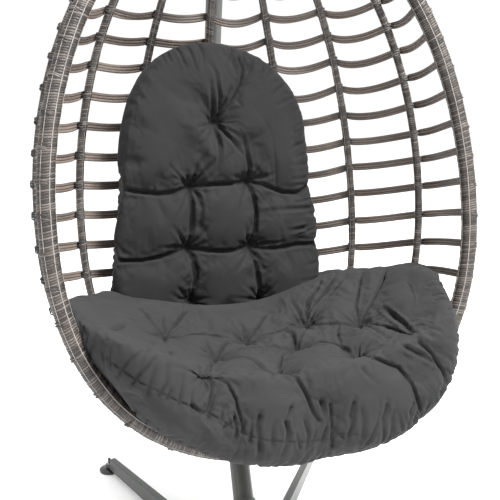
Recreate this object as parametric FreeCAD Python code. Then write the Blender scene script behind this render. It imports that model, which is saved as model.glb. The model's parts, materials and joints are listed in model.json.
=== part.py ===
import FreeCAD, Part
import os
from math import sin, cos, tan, acos, asin, atan2, sqrt, radians, degrees, pi, hypot

V = FreeCAD.Vector
os.makedirs("parts", exist_ok=True)

# ---------------------------------------------------------------- dimensions (mm)
# The origin is on the floor, straight below the pin that the chair hangs from.
# +Z is up, +Y is towards the mast, and the stand is symmetric about X = 0.

# stand
MAST_LOWER_OD = 50.0
MAST_LOWER_ID = 44.5
MAST_UPPER_OD = 44.0
MAST_UPPER_ID = 40.0
MAST_LEAN = 45.7            # degrees from vertical where the mast leaves the base
MAST_R = 780.0              # radius of the long bend
MAST_TOP_LEAN = 21.0        # degrees from vertical above the long bend
MAST_TOP_R = 341.6          # radius of the top bend
MAST_APEX_Z = 1925.0        # centre line at the highest point
ARC_C = (-205.6, 1054.4)    # centre of the long bend (Y, Z)
MAST_END = 17.0             # degrees past the apex where the tube ends
JOINT_FROM = 12.1           # the tubes overlap between these angles of the long bend
JOINT_TO = 4.0
HUB_R = 52.0
HUB_Z0, HUB_Z1 = 12.0, 76.0
SOCKET_OD, SOCKET_ID = 58.0, 50.3
SOCKET_TOP = 150.0
MAST_FOOT = 4.0             # lower end of the mast, along its axis from the hub
LEG_ANGLES = (26.0, -26.0, 135.0, -135.0)
LEG_NAMES = ("leg_rear_right", "leg_rear_left", "leg_front_right", "leg_front_left")
FOOT_NAMES = ("foot_rear_right", "foot_rear_left", "foot_front_right", "foot_front_left")
LEG_R0, LEG_R1 = 56.0, 722.0
LEG_W0, LEG_W1 = 21.0, 19.0
LEG_H0, LEG_H1 = 62.0, 37.0
LEG_Z = 13.0
LEG_WALL = 2.0
PAD_R = 30.0
PAD_AT = 745.0
HUB_Y = -PAD_AT * (cos(radians(LEG_ANGLES[0])) + cos(radians(LEG_ANGLES[2]))) / 2.0   # the four feet are centred on the origin

# hanger
PIN_Z = 1860.3
BASKET_TURN = 11.3          # degrees that the basket is turned on its swivel

# basket, in its own frame: +Z along the egg, the opening faces -Y
K = 0.93
TILT = -degrees(0.1906734826387141)
RING_Z = 1023.0
HANG_Y = 79.1               # the ring of the basket hangs this far in front of the pin
RIM_Y = -92.0 * K
RIM_TUBE_R = 11.0
RIM_R = 17.5
ROD_R = 5.0
RIB_R = 9.0
BAND_T = 4.0
BAND_H = 17.0
EGG_TOP = 648.0 * K
EGG_BOTTOM = -605.0 * K
RIBS = {"centre": (0.0, 0.0), "left_1": (-24.7, -3.2), "left_2": (-45.8, -0.9), "left_3": (-72.9, 0.8),
        "right_1": (24.7, 3.2), "right_2": (45.8, 0.9), "right_3": (72.9, -0.8)}
ROWS = [K * z for z in (575, 520, 462, 402, 344, 283, 214, 143, 70, 0, -72, -147, -220, -290, -360, -428, -490, -543)]


def save(name, shape):
    if shape.ShapeType == "Compound" and len(shape.Solids) == 1:
        shape = shape.Solids[0]
    shape.exportStep("parts/%s.step" % name)
    box = shape.BoundBox
    print("%-22s solids %d valid %s vol %9.1f  x %7.1f %7.1f y %7.1f %7.1f z %7.1f %7.1f" % (
        name, len(shape.Solids), shape.isValid(), shape.Volume / 1000.0, box.XMin, box.XMax, box.YMin, box.YMax, box.ZMin, box.ZMax))
    return shape


def cyl(p, d, r, h):
    return Part.makeCylinder(r, h, V(*p), V(*d))


def pipe(wire, radius, start, tangent):
    ring = Part.Wire([Part.Circle(start, tangent, radius).toShape()])
    body = wire.makePipeShell([ring], True, False)
    if body.Volume < 0:
        body.reverse()
    return body


def spline_pipe(points, radius, closed=False):
    curve = Part.BSplineCurve()
    curve.interpolate(points, PeriodicFlag=closed)
    wire = Part.Wire([curve.toShape()])
    first = curve.FirstParameter
    tangent = curve.tangent(first)[0]
    return pipe(wire, radius, curve.value(first), tangent)


def tapered_box(x0, x1, w0, w1, z0a, z1a, z0b, z1b):
    a = Part.makePolygon([V(x0, -w0 / 2, z0a), V(x0, w0 / 2, z0a), V(x0, w0 / 2, z1a), V(x0, -w0 / 2, z1a), V(x0, -w0 / 2, z0a)])
    b = Part.makePolygon([V(x1, -w1 / 2, z0b), V(x1, w1 / 2, z0b), V(x1, w1 / 2, z1b), V(x1, -w1 / 2, z1b), V(x1, -w1 / 2, z0b)])
    return Part.makeLoft([a, b], True, True)


# ---------------------------------------------------------------- mast path
def arc_point(phi):
    p = radians(phi)
    return (ARC_C[0] + MAST_R * cos(p), ARC_C[1] - MAST_R * sin(p))


low_end = arc_point(MAST_LEAN)
up_end = arc_point(-MAST_TOP_LEAN)
lean = radians(MAST_LEAN)
AX = V(0, sin(lean), cos(lean))                       # direction of the mast where it leaves the base
t_low = (low_end[0] - HUB_Y) / sin(lean)
AX0 = V(0, low_end[0], low_end[1]) - AX * t_low       # the mast's axis above the middle of the hub
top = radians(MAST_TOP_LEAN)
top_start_z = MAST_APEX_Z - MAST_TOP_R * (1 - sin(top))
top_len = (top_start_z - up_end[1]) / cos(top)
top_start = (up_end[0] - top_len * sin(top), top_start_z)
TOP_C = (top_start[0] - MAST_TOP_R * cos(top), MAST_APEX_Z - MAST_TOP_R)
print("hub axis point", AX0, "top bend centre", TOP_C, "straight", top_len)


def top_point(delta):
    # delta is the angle past the apex, towards the front
    d = radians(delta)
    return (TOP_C[0] - MAST_TOP_R * sin(d), TOP_C[1] + MAST_TOP_R * cos(d))


EYE_DELTA = degrees(asin(TOP_C[0] / MAST_TOP_R))      # where the centre line crosses Y = 0


def yz(p):
    return V(0, p[0], p[1])


def arc_edge(c, r, a0, a1):
    # a0, a1 in degrees in the YZ plane, measured from +Y towards +Z
    def pt(a):
        return V(0, c[0] + r * cos(radians(a)), c[1] + r * sin(radians(a)))
    return Part.Arc(pt(a0), pt((a0 + a1) / 2.0), pt(a1)).toShape()


def lower_path(start, phi_end):
    p0 = AX0 + AX * start
    return Part.Wire([Part.LineSegment(p0, yz(low_end)).toShape(), arc_edge(ARC_C, MAST_R, -MAST_LEAN, -phi_end)]), p0, AX


def upper_path():
    s = yz(arc_point(JOINT_FROM))
    t = V(0, -sin(radians(-JOINT_FROM)), cos(radians(JOINT_FROM)))
    w = Part.Wire([arc_edge(ARC_C, MAST_R, -JOINT_FROM, MAST_TOP_LEAN),
                   Part.LineSegment(yz(up_end), yz(top_start)).toShape(),
                   arc_edge(TOP_C, MAST_TOP_R, MAST_TOP_LEAN, 90.0 + MAST_END)])
    return w, s, V(0, sin(radians(JOINT_FROM)), cos(radians(JOINT_FROM)))


w, s, t = lower_path(MAST_FOOT, JOINT_TO)
mast_lower = pipe(w, MAST_LOWER_OD / 2, s, t).cut(pipe(w, MAST_LOWER_ID / 2, s, t))
w, s, t = upper_path()
mast_upper = pipe(w, MAST_UPPER_OD / 2, s, t).cut(pipe(w, MAST_UPPER_ID / 2, s, t))

# ---------------------------------------------------------------- bolts through the mast
SOCKET_BOLTS = [AX0 + AX * 62.0, AX0 + AX * 118.0]
JOINT_BOLTS = [yz(arc_point(9.6)), yz(arc_point(6.4))]
BOLT_R = 4.0
HOLE_R = 4.2


def cross_bolt(p, half, along=V(1, 0, 0)):
    # flanged screw, washer and nut, along one axis through p
    shank = Part.makeCylinder(BOLT_R, 2 * half + 9.0, p - along * (half + 0.2), along)
    head_at = p - along * (half + 2.0)
    washer = Part.makeCylinder(8.5, 1.8, head_at, along)
    washer2 = Part.makeCylinder(8.5, 1.8, p + along * (half + 0.2), along)
    head = Part.makeCylinder(7.5, 4.2, head_at - along * 4.2, along)
    sphere = Part.makeSphere(10.0, head_at + along * 4.4)
    head = head.common(sphere)
    socket = Part.makeCylinder(2.9, 2.6, head_at - along * 6.0, along)
    head = head.cut(socket)
    nut = hexagon(p + along * (half + 2.0), along, 6.5, 6.5)
    return head.fuse(washer).fuse(shank).fuse(washer2).fuse(nut)


def hexagon(p, d, r, h):
    # a hexagonal prism of inner radius r
    side = V(0, 0, 1) if abs(d.z) < 0.9 else V(1, 0, 0)
    u = d.cross(side)
    u.normalize()
    v = d.cross(u)
    R = r / cos(pi / 6)
    pts = [p + u * (R * cos(pi / 3 * i)) + v * (R * sin(pi / 3 * i)) for i in range(7)]
    return Part.Face(Part.makePolygon(pts)).extrude(d * h)


for p in SOCKET_BOLTS + JOINT_BOLTS:
    hole = Part.makeCylinder(HOLE_R, 90.0, p - V(45, 0, 0), V(1, 0, 0))
    mast_lower = mast_lower.cut(hole)
for p in JOINT_BOLTS:
    mast_upper = mast_upper.cut(Part.makeCylinder(HOLE_R, 90.0, p - V(45, 0, 0), V(1, 0, 0)))

# upright hole through the upper tube for the hanging eye
eye_c = top_point(EYE_DELTA)
EYE_HOLE_R = 5.2
mast_upper = mast_upper.cut(Part.makeCylinder(EYE_HOLE_R, 80.0, V(0, 0, eye_c[1] - 40.0), V(0, 0, 1)))
save("mast_lower", mast_lower)
save("mast_upper", mast_upper)

bolts = [cross_bolt(p, SOCKET_OD / 2) for p in SOCKET_BOLTS] + [cross_bolt(p, MAST_LOWER_OD / 2) for p in JOINT_BOLTS]
save("mast_bolts", Part.makeCompound(bolts))

# ---------------------------------------------------------------- hub with its socket and leg tongues
hub = Part.makeCylinder(HUB_R, HUB_Z1 - HUB_Z0, V(0, HUB_Y, HUB_Z0))
hub = hub.makeFillet(4.0, [e for e in hub.Edges if abs(e.BoundBox.ZMax - HUB_Z1) < 0.1 and e.BoundBox.ZLength < 0.1])
socket = Part.makeCylinder(SOCKET_OD / 2, SOCKET_TOP + 40.0, AX0 - AX * 40.0, AX)
below = Part.makeBox(400, 400, 200, V(-200, HUB_Y - 200, HUB_Z0 - 200.0 + 6.0))
socket = socket.cut(below)
front_cut = Part.makeBox(200, 200, 300, V(-100, HUB_Y - HUB_R - 200, -50))
socket = socket.cut(front_cut)
hub = hub.fuse(socket)
gusset = Part.Face(Part.makePolygon([V(-4, HUB_Y + 10, HUB_Z1 - 6), V(-4, HUB_Y + HUB_R + 22, HUB_Z1 - 6), V(-4, HUB_Y + 118, AX0.z + 72),
                                     V(-4, HUB_Y + 96, AX0.z + 96), V(-4, HUB_Y + 10, HUB_Z1 - 6)])).extrude(V(8, 0, 0))
hub = hub.fuse(gusset)
for ang in LEG_ANGLES:
    tongue = Part.makeBox(120.0 - 30.0, 16.6, 50.0, V(30.0, -8.3, LEG_Z + 6.0))
    tongue.rotate(V(0, 0, 0), V(0, 0, 1), 90.0 - ang)
    tongue.translate(V(0, HUB_Y, 0))
    hub = hub.fuse(tongue)
bore = Part.makeCylinder(SOCKET_ID / 2, 400.0, AX0 + AX * (MAST_FOOT - 1.0), AX)
hub = hub.cut(bore)
hub = hub.removeSplitter()
for p in SOCKET_BOLTS:
    hub = hub.cut(Part.makeCylinder(HOLE_R, 90.0, p - V(45, 0, 0), V(1, 0, 0)))

# ---------------------------------------------------------------- legs, leg screws, foot pads
leg_screws = []
lock_nuts = []
for ang, name, foot in zip(LEG_ANGLES, LEG_NAMES, FOOT_NAMES):
    outer = tapered_box(LEG_R0, LEG_R1, LEG_W0, LEG_W1, LEG_Z, LEG_Z + LEG_H0, LEG_Z, LEG_Z + LEG_H1)
    vert = [e for e in outer.Edges if e.Length > 600]
    outer = outer.makeFillet(2.5, vert)
    inner = tapered_box(LEG_R0 - 1.0, LEG_R1 - LEG_WALL, LEG_W0 - 2 * LEG_WALL, LEG_W1 - 2 * LEG_WALL,
                        LEG_Z + LEG_WALL, LEG_Z + LEG_H0 - LEG_WALL, LEG_Z + LEG_WALL, LEG_Z + LEG_H1 - LEG_WALL)
    leg = outer.cut(inner)
    # the tab that holds the foot
    tab_z = LEG_Z + 3.0
    tab = Part.makeBox(PAD_AT - LEG_R1 + 0.5, 18.0, 5.0, V(LEG_R1 - 0.5, -9.0, tab_z))
    tab = tab.fuse(Part.makeCylinder(12.0, 5.0, V(PAD_AT, 0, tab_z)))
    leg = leg.fuse(tab).cut(Part.makeCylinder(4.05, 20.0, V(PAD_AT, 0, tab_z - 5.0)))
    # two screws across each tongue
    rot = 90.0 - ang
    for r in (78.0, 104.0):
        zc = LEG_Z + 31.0
        hole = Part.makeCylinder(HOLE_R, 60.0, V(r, -30.0, zc), V(0, 1, 0))
        leg = leg.cut(hole)
        hole.rotate(V(0, 0, 0), V(0, 0, 1), rot)
        hole.translate(V(0, HUB_Y, 0))
        hub = hub.cut(hole)
        screw = cross_bolt(V(r, 0, zc), LEG_W0 / 2, V(0, 1, 0))
        screw.rotate(V(0, 0, 0), V(0, 0, 1), rot)
        screw.translate(V(0, HUB_Y, 0))
        leg_screws.append(screw)
    leg.rotate(V(0, 0, 0), V(0, 0, 1), rot)
    leg.translate(V(0, HUB_Y, 0))
    save(name, leg.removeSplitter())
    # foot: moulded disc with a threaded stem that rises through the tab
    pad = Part.makeCylinder(PAD_R, 6.0, V(0, 0, 0))
    pad = pad.fuse(Part.makeCone(PAD_R, 14.0, 4.0, V(0, 0, 6.0)))
    pad = pad.makeFillet(1.2, [e for e in pad.Edges if abs(e.BoundBox.ZMax) < 0.01])
    pad = pad.fuse(Part.makeCylinder(10.0, 4.0, V(0, 0, 10.0)))
    stem = Part.makeCylinder(4.0, 33.0, V(0, 0, 8.0))
    pad = pad.fuse(stem).removeSplitter()
    pad.translate(V(PAD_AT, 0, 0))
    pad.rotate(V(0, 0, 0), V(0, 0, 1), rot)
    pad.translate(V(0, HUB_Y, 0))
    save(foot, pad)
    nut = hexagon(V(PAD_AT, 0, tab_z + 5.0), V(0, 0, 1), 6.5, 6.0).cut(Part.makeCylinder(4.05, 20.0, V(PAD_AT, 0, tab_z)))
    nut.rotate(V(0, 0, 0), V(0, 0, 1), rot)
    nut.translate(V(0, HUB_Y, 0))
    lock_nuts.append(nut)
save("base_hub", hub)
save("leg_screws", Part.makeCompound(leg_screws))
save("foot_lock_nuts", Part.makeCompound(lock_nuts))

# ---------------------------------------------------------------- end cap, hanging eye and its nuts
e = top_point(MAST_END)
d = radians(MAST_END)
out = V(0, -cos(d), -sin(d))                # the way the tube points at its end
ep = V(0, e[0], e[1])
cap = Part.makeCylinder(MAST_UPPER_OD / 2, 4.0, ep + out * 0.1, out)
cap = cap.makeFillet(2.5, [cap.Edges[0]] if cap.Edges[0].Curve.Center.distanceToPoint(ep) > 2 else [cap.Edges[2]])
cap = cap.fuse(Part.makeCylinder(MAST_UPPER_ID / 2 - 0.4, 18.0, ep - out * 17.0, out)).removeSplitter()
save("mast_end_cap", cap)

EYE_Z = PIN_Z - 4.3 + 12.0                   # centre of the eye's ring
ring = Part.makeTorus(17.0, 5.0, V(0, 0, EYE_Z), V(1, 0, 0))
shank = Part.makeCylinder(5.0, eye_c[1] + 22.0 + 15.0 - (EYE_Z + 14.0), V(0, 0, EYE_Z + 14.0))
collar = Part.makeCylinder(11.0, 3.0, V(0, 0, EYE_Z + 17.5))
collar = collar.fuse(Part.makeCone(7.0, 11.0, 4.0, V(0, 0, EYE_Z + 13.5)))
eye = ring.fuse(shank).fuse(collar)
eye = eye.cut(Part.makeCylinder(12.0, 30.0, V(-15, 0, EYE_Z), V(1, 0, 0)).common(Part.makeBox(30, 60, 11.9, V(-15, -30, EYE_Z))))
save("hanging_eye", eye.removeSplitter())

slope = V(0, -sin(radians(EYE_DELTA)), cos(radians(EYE_DELTA)))
saddle_lo = Part.makeCylinder(14.0, 40.0, V(0, 0, EYE_Z + 21.9))
saddle_hi = Part.makeCylinder(14.0, eye_c[1] + 22.0 + 5.0 - (eye_c[1] - 0.0), V(0, 0, eye_c[1]))
tube_here = Part.makeCylinder(MAST_UPPER_OD / 2 + 0.05, 200.0, V(0, eye_c[0] + 100.0 * cos(radians(EYE_DELTA)), eye_c[1] + 100.0 * sin(radians(EYE_DELTA))),
                              V(0, -cos(radians(EYE_DELTA)), -sin(radians(EYE_DELTA))))
bend = Part.makeTorus(MAST_TOP_R, MAST_UPPER_OD / 2 + 0.05, V(0, TOP_C[0], TOP_C[1]), V(1, 0, 0))
saddle_lo = saddle_lo.common(Part.makeBox(60, 60, eye_c[1] - (EYE_Z + 21.9), V(-30, -30, EYE_Z + 21.9))).cut(bend)
saddle_hi = saddle_hi.cut(bend)
hole = Part.makeCylinder(5.05, 120.0, V(0, 0, EYE_Z))
saddle_lo = saddle_lo.cut(hole)
saddle_hi = saddle_hi.cut(hole)
saddle_lo = max(saddle_lo.Solids, key=lambda q: q.Volume)
saddle_hi = max(saddle_hi.Solids, key=lambda q: q.Volume)
save("eye_saddles", Part.makeCompound([saddle_lo, saddle_hi]))
nut_z = eye_c[1] + 22.0 + 5.0
nut = hexagon(V(0, 0, nut_z), V(0, 0, 1), 8.0, 8.0)
dome = Part.makeCylinder(7.6, 5.0, V(0, 0, nut_z + 8.0)).common(Part.makeSphere(9.0, V(0, 0, nut_z + 5.0)))
nut = nut.fuse(dome).cut(Part.makeCylinder(5.02, 13.0 - 1.5, V(0, 0, nut_z - 1.0)))
save("eye_cap_nut", nut.removeSplitter())


# ---------------------------------------------------------------- hanger
def shackle(z_pin, z_arc, half, wire_r):
    # a U of round bar in the XZ plane with drilled ears for its pin
    legs = []
    for sx in (-1, 1):
        legs.append(Part.makeCylinder(wire_r, z_pin - z_arc, V(sx * half, 0, z_arc)))
        legs.append(Part.makeCylinder(7.5, 7.0, V(sx * half - 3.5, 0, z_pin), V(1, 0, 0)))
    tor = Part.makeTorus(half, wire_r, V(0, 0, z_arc), V(0, 1, 0))
    tor = tor.common(Part.makeBox(200, 60, 100, V(-100, -30, z_arc - 100)))
    body = tor.fuse(legs[0]).fuse(legs[1]).fuse(legs[2]).fuse(legs[3]).removeSplitter()
    return body.cut(Part.makeCylinder(4.05, 100.0, V(-50, 0, z_pin), V(1, 0, 0)))


def shackle_pin(z_pin, half):
    pin = Part.makeCylinder(4.0, 2 * half + 12.0, V(-half - 4.0, 0, z_pin), V(1, 0, 0))
    head = Part.makeCylinder(6.5, 4.0, V(-half - 8.0, 0, z_pin), V(1, 0, 0))
    nut = hexagon(V(half + 3.8, 0, z_pin), V(1, 0, 0), 6.5, 6.0)
    return pin.fuse(head).fuse(nut).removeSplitter()


UP_HALF, UP_WIRE = 14.0, 4.0
UP_ARC_Z = PIN_Z - 22.0
save("upper_shackle", shackle(PIN_Z, UP_ARC_Z, UP_HALF, UP_WIRE))
save("upper_shackle_pin", shackle_pin(PIN_Z, UP_HALF))
BOW_Z = UP_ARC_Z - UP_HALF                        # centre of the bow's wire at its lowest point

# swivel head: a ring in the YZ plane hung on the bow, and the barrel below it
SW_WIRE = 4.5
SIDE_Z = BOW_Z + UP_WIRE + SW_WIRE + 0.3          # centre of the ring's wire at its top: sideways pivot
SW_R = 14.0
SW_RING_Z = SIDE_Z - SW_R
BARREL_TOP = SW_RING_Z - SW_R - SW_WIRE - 4.0
BARREL_H = 36.0
BARREL_R = 15.0
BARREL_BOTTOM = BARREL_TOP - BARREL_H
head = Part.makeTorus(SW_R, SW_WIRE, V(0, 0, SW_RING_Z), V(1, 0, 0))
neck = Part.makeCone(10.0, 6.0, 8.0, V(0, 0, BARREL_TOP - 0.5)).common(Part.makeBox(60, 60, 8.0, V(-30, -30, BARREL_TOP - 0.5)))
barrel = Part.makeCylinder(BARREL_R, BARREL_H, V(0, 0, BARREL_BOTTOM))
barrel = barrel.makeFillet(2.5, [barrel.Edges[0], barrel.Edges[2]])
cavity = Part.makeCylinder(11.5, BARREL_H - 9.0, V(0, 0, BARREL_BOTTOM + 5.0))
stem_hole = Part.makeCylinder(6.05, 12.0, V(0, 0, BARREL_BOTTOM - 2.0))
swivel_head = head.fuse(neck).fuse(barrel).removeSplitter().cut(cavity).cut(stem_hole)
save("swivel_head", swivel_head)
# thrust bearing that the stem's collar stands on
race = Part.makeCylinder(11.2, 2.4, V(0, 0, BARREL_BOTTOM + 5.1)).cut(Part.makeCylinder(6.4, 4.0, V(0, 0, BARREL_BOTTOM + 4.5)))
balls = [Part.makeSphere(1.9, V(8.8 * cos(radians(a)), 8.8 * sin(radians(a)), BARREL_BOTTOM + 9.4)) for a in range(0, 360, 36)]
save("swivel_thrust_bearing", Part.makeCompound([race] + balls))
stem = Part.makeCylinder(6.0, 34.0, V(0, 0, BARREL_BOTTOM - 12.0))
stem = stem.fuse(Part.makeCylinder(11.0, 4.0, V(0, 0, BARREL_BOTTOM + 11.45)))
LOW_PIN_Z = BARREL_BOTTOM - 24.0
ear = Part.makeCylinder(12.0, 11.0, V(-5.5, 0, LOW_PIN_Z), V(1, 0, 0))
ear = ear.fuse(Part.makeBox(11.0, 18.0, 16.0, V(-5.5, -9.0, LOW_PIN_Z + 4.0)))
stem = stem.fuse(ear).removeSplitter().cut(Part.makeCylinder(4.06, 40.0, V(-20, 0, LOW_PIN_Z), V(1, 0, 0)))


def turned(shape):
    s2 = shape.copy()
    s2.rotate(V(0, 0, 0), V(0, 0, 1), BASKET_TURN)
    return s2


save("swivel_stem", turned(stem))
LOW_ARC_Z = LOW_PIN_Z - 38.0
save("lower_shackle", turned(shackle(LOW_PIN_Z, LOW_ARC_Z, UP_HALF, UP_WIRE)))
save("lower_shackle_pin", turned(shackle_pin(LOW_PIN_Z, UP_HALF)))
LOW_BOW_Z = LOW_ARC_Z - UP_HALF
CROWN_EYE_TOP = LOW_BOW_Z + UP_WIRE + 4.0 + 0.3   # centre of the crown eye's wire at its top
print("pivots: fore-aft z %.2f, sideways z %.2f, swivel, crown z %.2f" % (PIN_Z, SIDE_Z, LOW_BOW_Z))


# ---------------------------------------------------------------- basket surface
def a_of(z):
    z = z / K
    if z >= -72:
        q = (z + 72) / 720.0
        return K * 500 * sqrt(max(0.0, 1 - q * q))
    q = (-72 - z) / 533.0
    return K * 500 * max(0.0, 1 - q ** 2.3) ** (1 / 2.3)


def b_of(z):
    z = z / K
    if z >= -290:
        q = (z + 290) / 938.0
        return K * 387 * sqrt(max(0.0, 1 - q * q))
    q = (-290 - z) / 315.0
    return K * 387 * sqrt(max(0.0, 1 - q * q))


def clamp(v, lo, hi):
    return max(lo, min(hi, v))


def rib_angle(name, z):
    t0, t1 = RIBS[name]
    return radians(t0 + t1 * clamp(-(z / K - 70) / 346.0, -1.25, 1.6))


def surf(th, z):
    return V(a_of(z) * sin(th), b_of(z) * cos(th), z)


def rim_x(z):
    b = b_of(z)
    if b <= abs(RIM_Y):
        return 0.0
    return a_of(z) * sqrt(1 - (RIM_Y / b) ** 2)


def row_point(z, th):
    x = a_of(z) * sin(th)
    f = clamp(-(z / K - 70) / 346.0, -1.4, 1.2)
    return surf(th, z + K * (13.1 + 21.2 * f) * (x / (500 * K)) ** 2)


PLACE = FreeCAD.Placement(V(0, 0, RING_Z), FreeCAD.Rotation(V(0, 0, 1), BASKET_TURN)).multiply(
    FreeCAD.Placement(V(0, -HANG_Y, 0), FreeCAD.Rotation(V(1, 0, 0), TILT)))


def placed(shape):
    s2 = shape.copy()
    s2.transformShape(PLACE.toMatrix(), True)
    return s2


def basket(name, shape):
    return save(name, placed(shape))


# rim: a closed loop in the plane of the opening
RIM_TOP_Z = K * (-290 + 938 * sqrt(1 - (92 / 387.0) ** 2))
RIM_BOTTOM_Z = K * (-290 - 315 * sqrt(1 - (92 / 387.0) ** 2))
MID = -72 * K
half = []
for i in range(0, 10):
    half.append(MID + (RIM_TOP_Z - MID) * cos(radians(10.0 * i)))
for i in range(0, 10):
    half.append(MID - (MID - RIM_BOTTOM_Z) * sin(radians(10.0 * i)))
half[0] = RIM_TOP_Z
half[-1] = RIM_BOTTOM_Z
zs = [z for i, z in enumerate(half) if i != 10]
right = [V(rim_x(z) if 0 < i < len(zs) - 1 else 0.0, RIM_Y, z) for i, z in enumerate(zs)]
left = [V(-p.x, RIM_Y, p.z) for p in reversed(right[1:-1])]
rim_points = right + left
rim_outer = spline_pipe(rim_points, RIM_R, True)
rim_inner = spline_pipe(rim_points, RIM_TUBE_R + 0.15, True)
rim_tube = spline_pipe(rim_points, RIM_TUBE_R, True)
rim_bore = spline_pipe(rim_points, RIM_TUBE_R - 1.5, True)
print("rim pipes", rim_outer.Volume, rim_inner.Volume, rim_tube.Volume, rim_bore.Volume)
rim_tube = rim_tube.cut(rim_bore)

# centre rib: from the top of the rim over the crown, down the back, and forward to the bottom of the rim
BB, ZC, HT, HB = 387.0 * K, -290.0 * K, 938.0 * K, 315.0 * K


def spine(w):
    # w in degrees: positive above the widest level, negative below it
    r = radians(w)
    return V(0, BB * cos(r), ZC + (HT if w >= 0 else HB) * sin(r))


def spine_points(w0, w1, n):
    return [spine(w0 + (w1 - w0) * i / (n - 1.0)) for i in range(n)]


W_END = degrees(acos(-92 / 387.0))
RING_RHO, RING_WIRE = 44.0, 8.0
CROWN_RING_Z, BASE_RING_Z = 595.0, -560.5
W_RING = degrees(acos((RING_RHO + 4.0) / BB))    # the rods run to the rings and are welded there
W_WRAP = degrees(acos(64.0 / BB))
crown_ring = Part.makeTorus(RING_RHO, RING_WIRE, V(0, 0, CROWN_RING_Z))
base_ring = Part.makeTorus(RING_RHO, RING_WIRE, V(0, 0, BASE_RING_Z))


def trimmed(rod):
    rod = rod.cut(crown_ring).cut(base_ring)
    return max(rod.Solids, key=lambda q: q.Volume)


def between(w0, w1, n, radius):
    return spline_pipe(spine_points(w0, w1, n), radius)


rods = [trimmed(between(W_RING, -W_RING, 25, ROD_R)),
        trimmed(between(W_END - 1.6, 180.0 - W_RING, 6, ROD_R)),
        trimmed(between(-(180.0 - W_RING), -(W_END - 2.2), 6, ROD_R))]
wraps = {"centre": between(W_WRAP, -W_WRAP, 25, RIB_R).cut(between(W_WRAP + 0.3, -(W_WRAP + 0.3), 25, ROD_R + 0.15))}


def rib_levels(rho):
    w = degrees(acos(rho / BB))
    lo = []
    for i in range(0, 8):
        lo.append(ZC - HB * sin(radians(w * i / 7.0)))
    u = degrees(asin((ZC + HT * sin(radians(w)) - MID) / (EGG_TOP - MID)))
    hi = [MID + (EGG_TOP - MID) * sin(radians(u - u * i / 9.0)) for i in range(0, 10)]
    return hi + [-130.0, -200.0] + lo


for name in RIBS:
    if name == "centre":
        continue
    long_pts = [surf(rib_angle(name, z), z) for z in rib_levels(RING_RHO + 3.0)]
    short_pts = [surf(rib_angle(name, z), z) for z in rib_levels(64.0)]
    rods.append(trimmed(spline_pipe(long_pts, ROD_R)))
    wraps[name] = spline_pipe(short_pts, RIB_R).cut(spline_pipe(long_pts, ROD_R + 0.15))
for name, w in wraps.items():
    basket("rib_wrap_" + name, w)
basket("rib_rods", Part.makeCompound(rods))
for rod in rods[1:3]:
    rim_tube = rim_tube.cut(rod)
rim_wrap = rim_outer.cut(rim_inner)      # the strand is wound over the ends of the two short rods
print("rim wrap", rim_wrap.Volume, rim_wrap.isValid())
basket("rim_wrap", rim_wrap)
basket("rim_tube", rim_tube)
basket("crown_ring", crown_ring)
basket("base_ring", base_ring)

# crown plate: welded on the crown ring, it carries the eye
PLATE_R = 50.0
crown_z = CROWN_RING_Z + RING_WIRE
crown = Part.makeCylinder(PLATE_R, 5.0, V(0, 0, crown_z))
NOSE_R = 24.0
nose = Part.makeBox(2 * NOSE_R, -RIM_Y, 5.0, V(-NOSE_R, RIM_Y, crown_z)).fuse(Part.makeCylinder(NOSE_R, 5.0, V(0, RIM_Y, crown_z)))
crown = crown.fuse(nose).removeSplitter()
crown = crown.makeFillet(1.5, [e for e in crown.Edges if abs(e.BoundBox.ZMin - crown_z - 5.0) < 0.01 and e.BoundBox.ZLength < 0.01])
basket("crown_plate", crown)

# crown eye: an upright loop on the crown plate, under the lower shackle, built plumb
plate_top = placed(crown).BoundBox.ZMax
LOOP_HALF = 15.0
loop_arc_z = CROWN_EYE_TOP - LOOP_HALF
foot_z = RING_Z + 560.0
loop = Part.makeTorus(LOOP_HALF, 4.0, V(0, 0, loop_arc_z), V(1, 0, 0)).common(Part.makeBox(60, 100, 60, V(-30, -50, loop_arc_z)))
for sy in (-1, 1):
    loop = loop.fuse(Part.makeCylinder(4.0, loop_arc_z - foot_z, V(0, sy * LOOP_HALF, foot_z)))
loop = turned(loop.removeSplitter())
half_space = Part.makeBox(400, 400, 400, V(-200, -200, crown_z + 5.0))
loop = loop.common(placed(half_space))
save("crown_eye", loop)

# woven rows: each band runs round the outside of the ribs from one side of the rim to the other
EPS = 0.5


def band_frame(z, th):
    p = row_point(z, th)
    du = row_point(z, th + 0.004) - row_point(z, th - 0.004)
    dv = row_point(z + EPS, th) - row_point(z - EPS, th)
    n = dv.cross(du)
    n.normalize()
    outward = V(p.x / (a_of(z) ** 2), p.y / (b_of(z) ** 2), 0)
    if n.dot(outward) < 0:
        n = n * -1.0
    m = n.cross(du)
    m.normalize()
    if m.z < 0:
        m = m * -1.0
    return p, n, m


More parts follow.
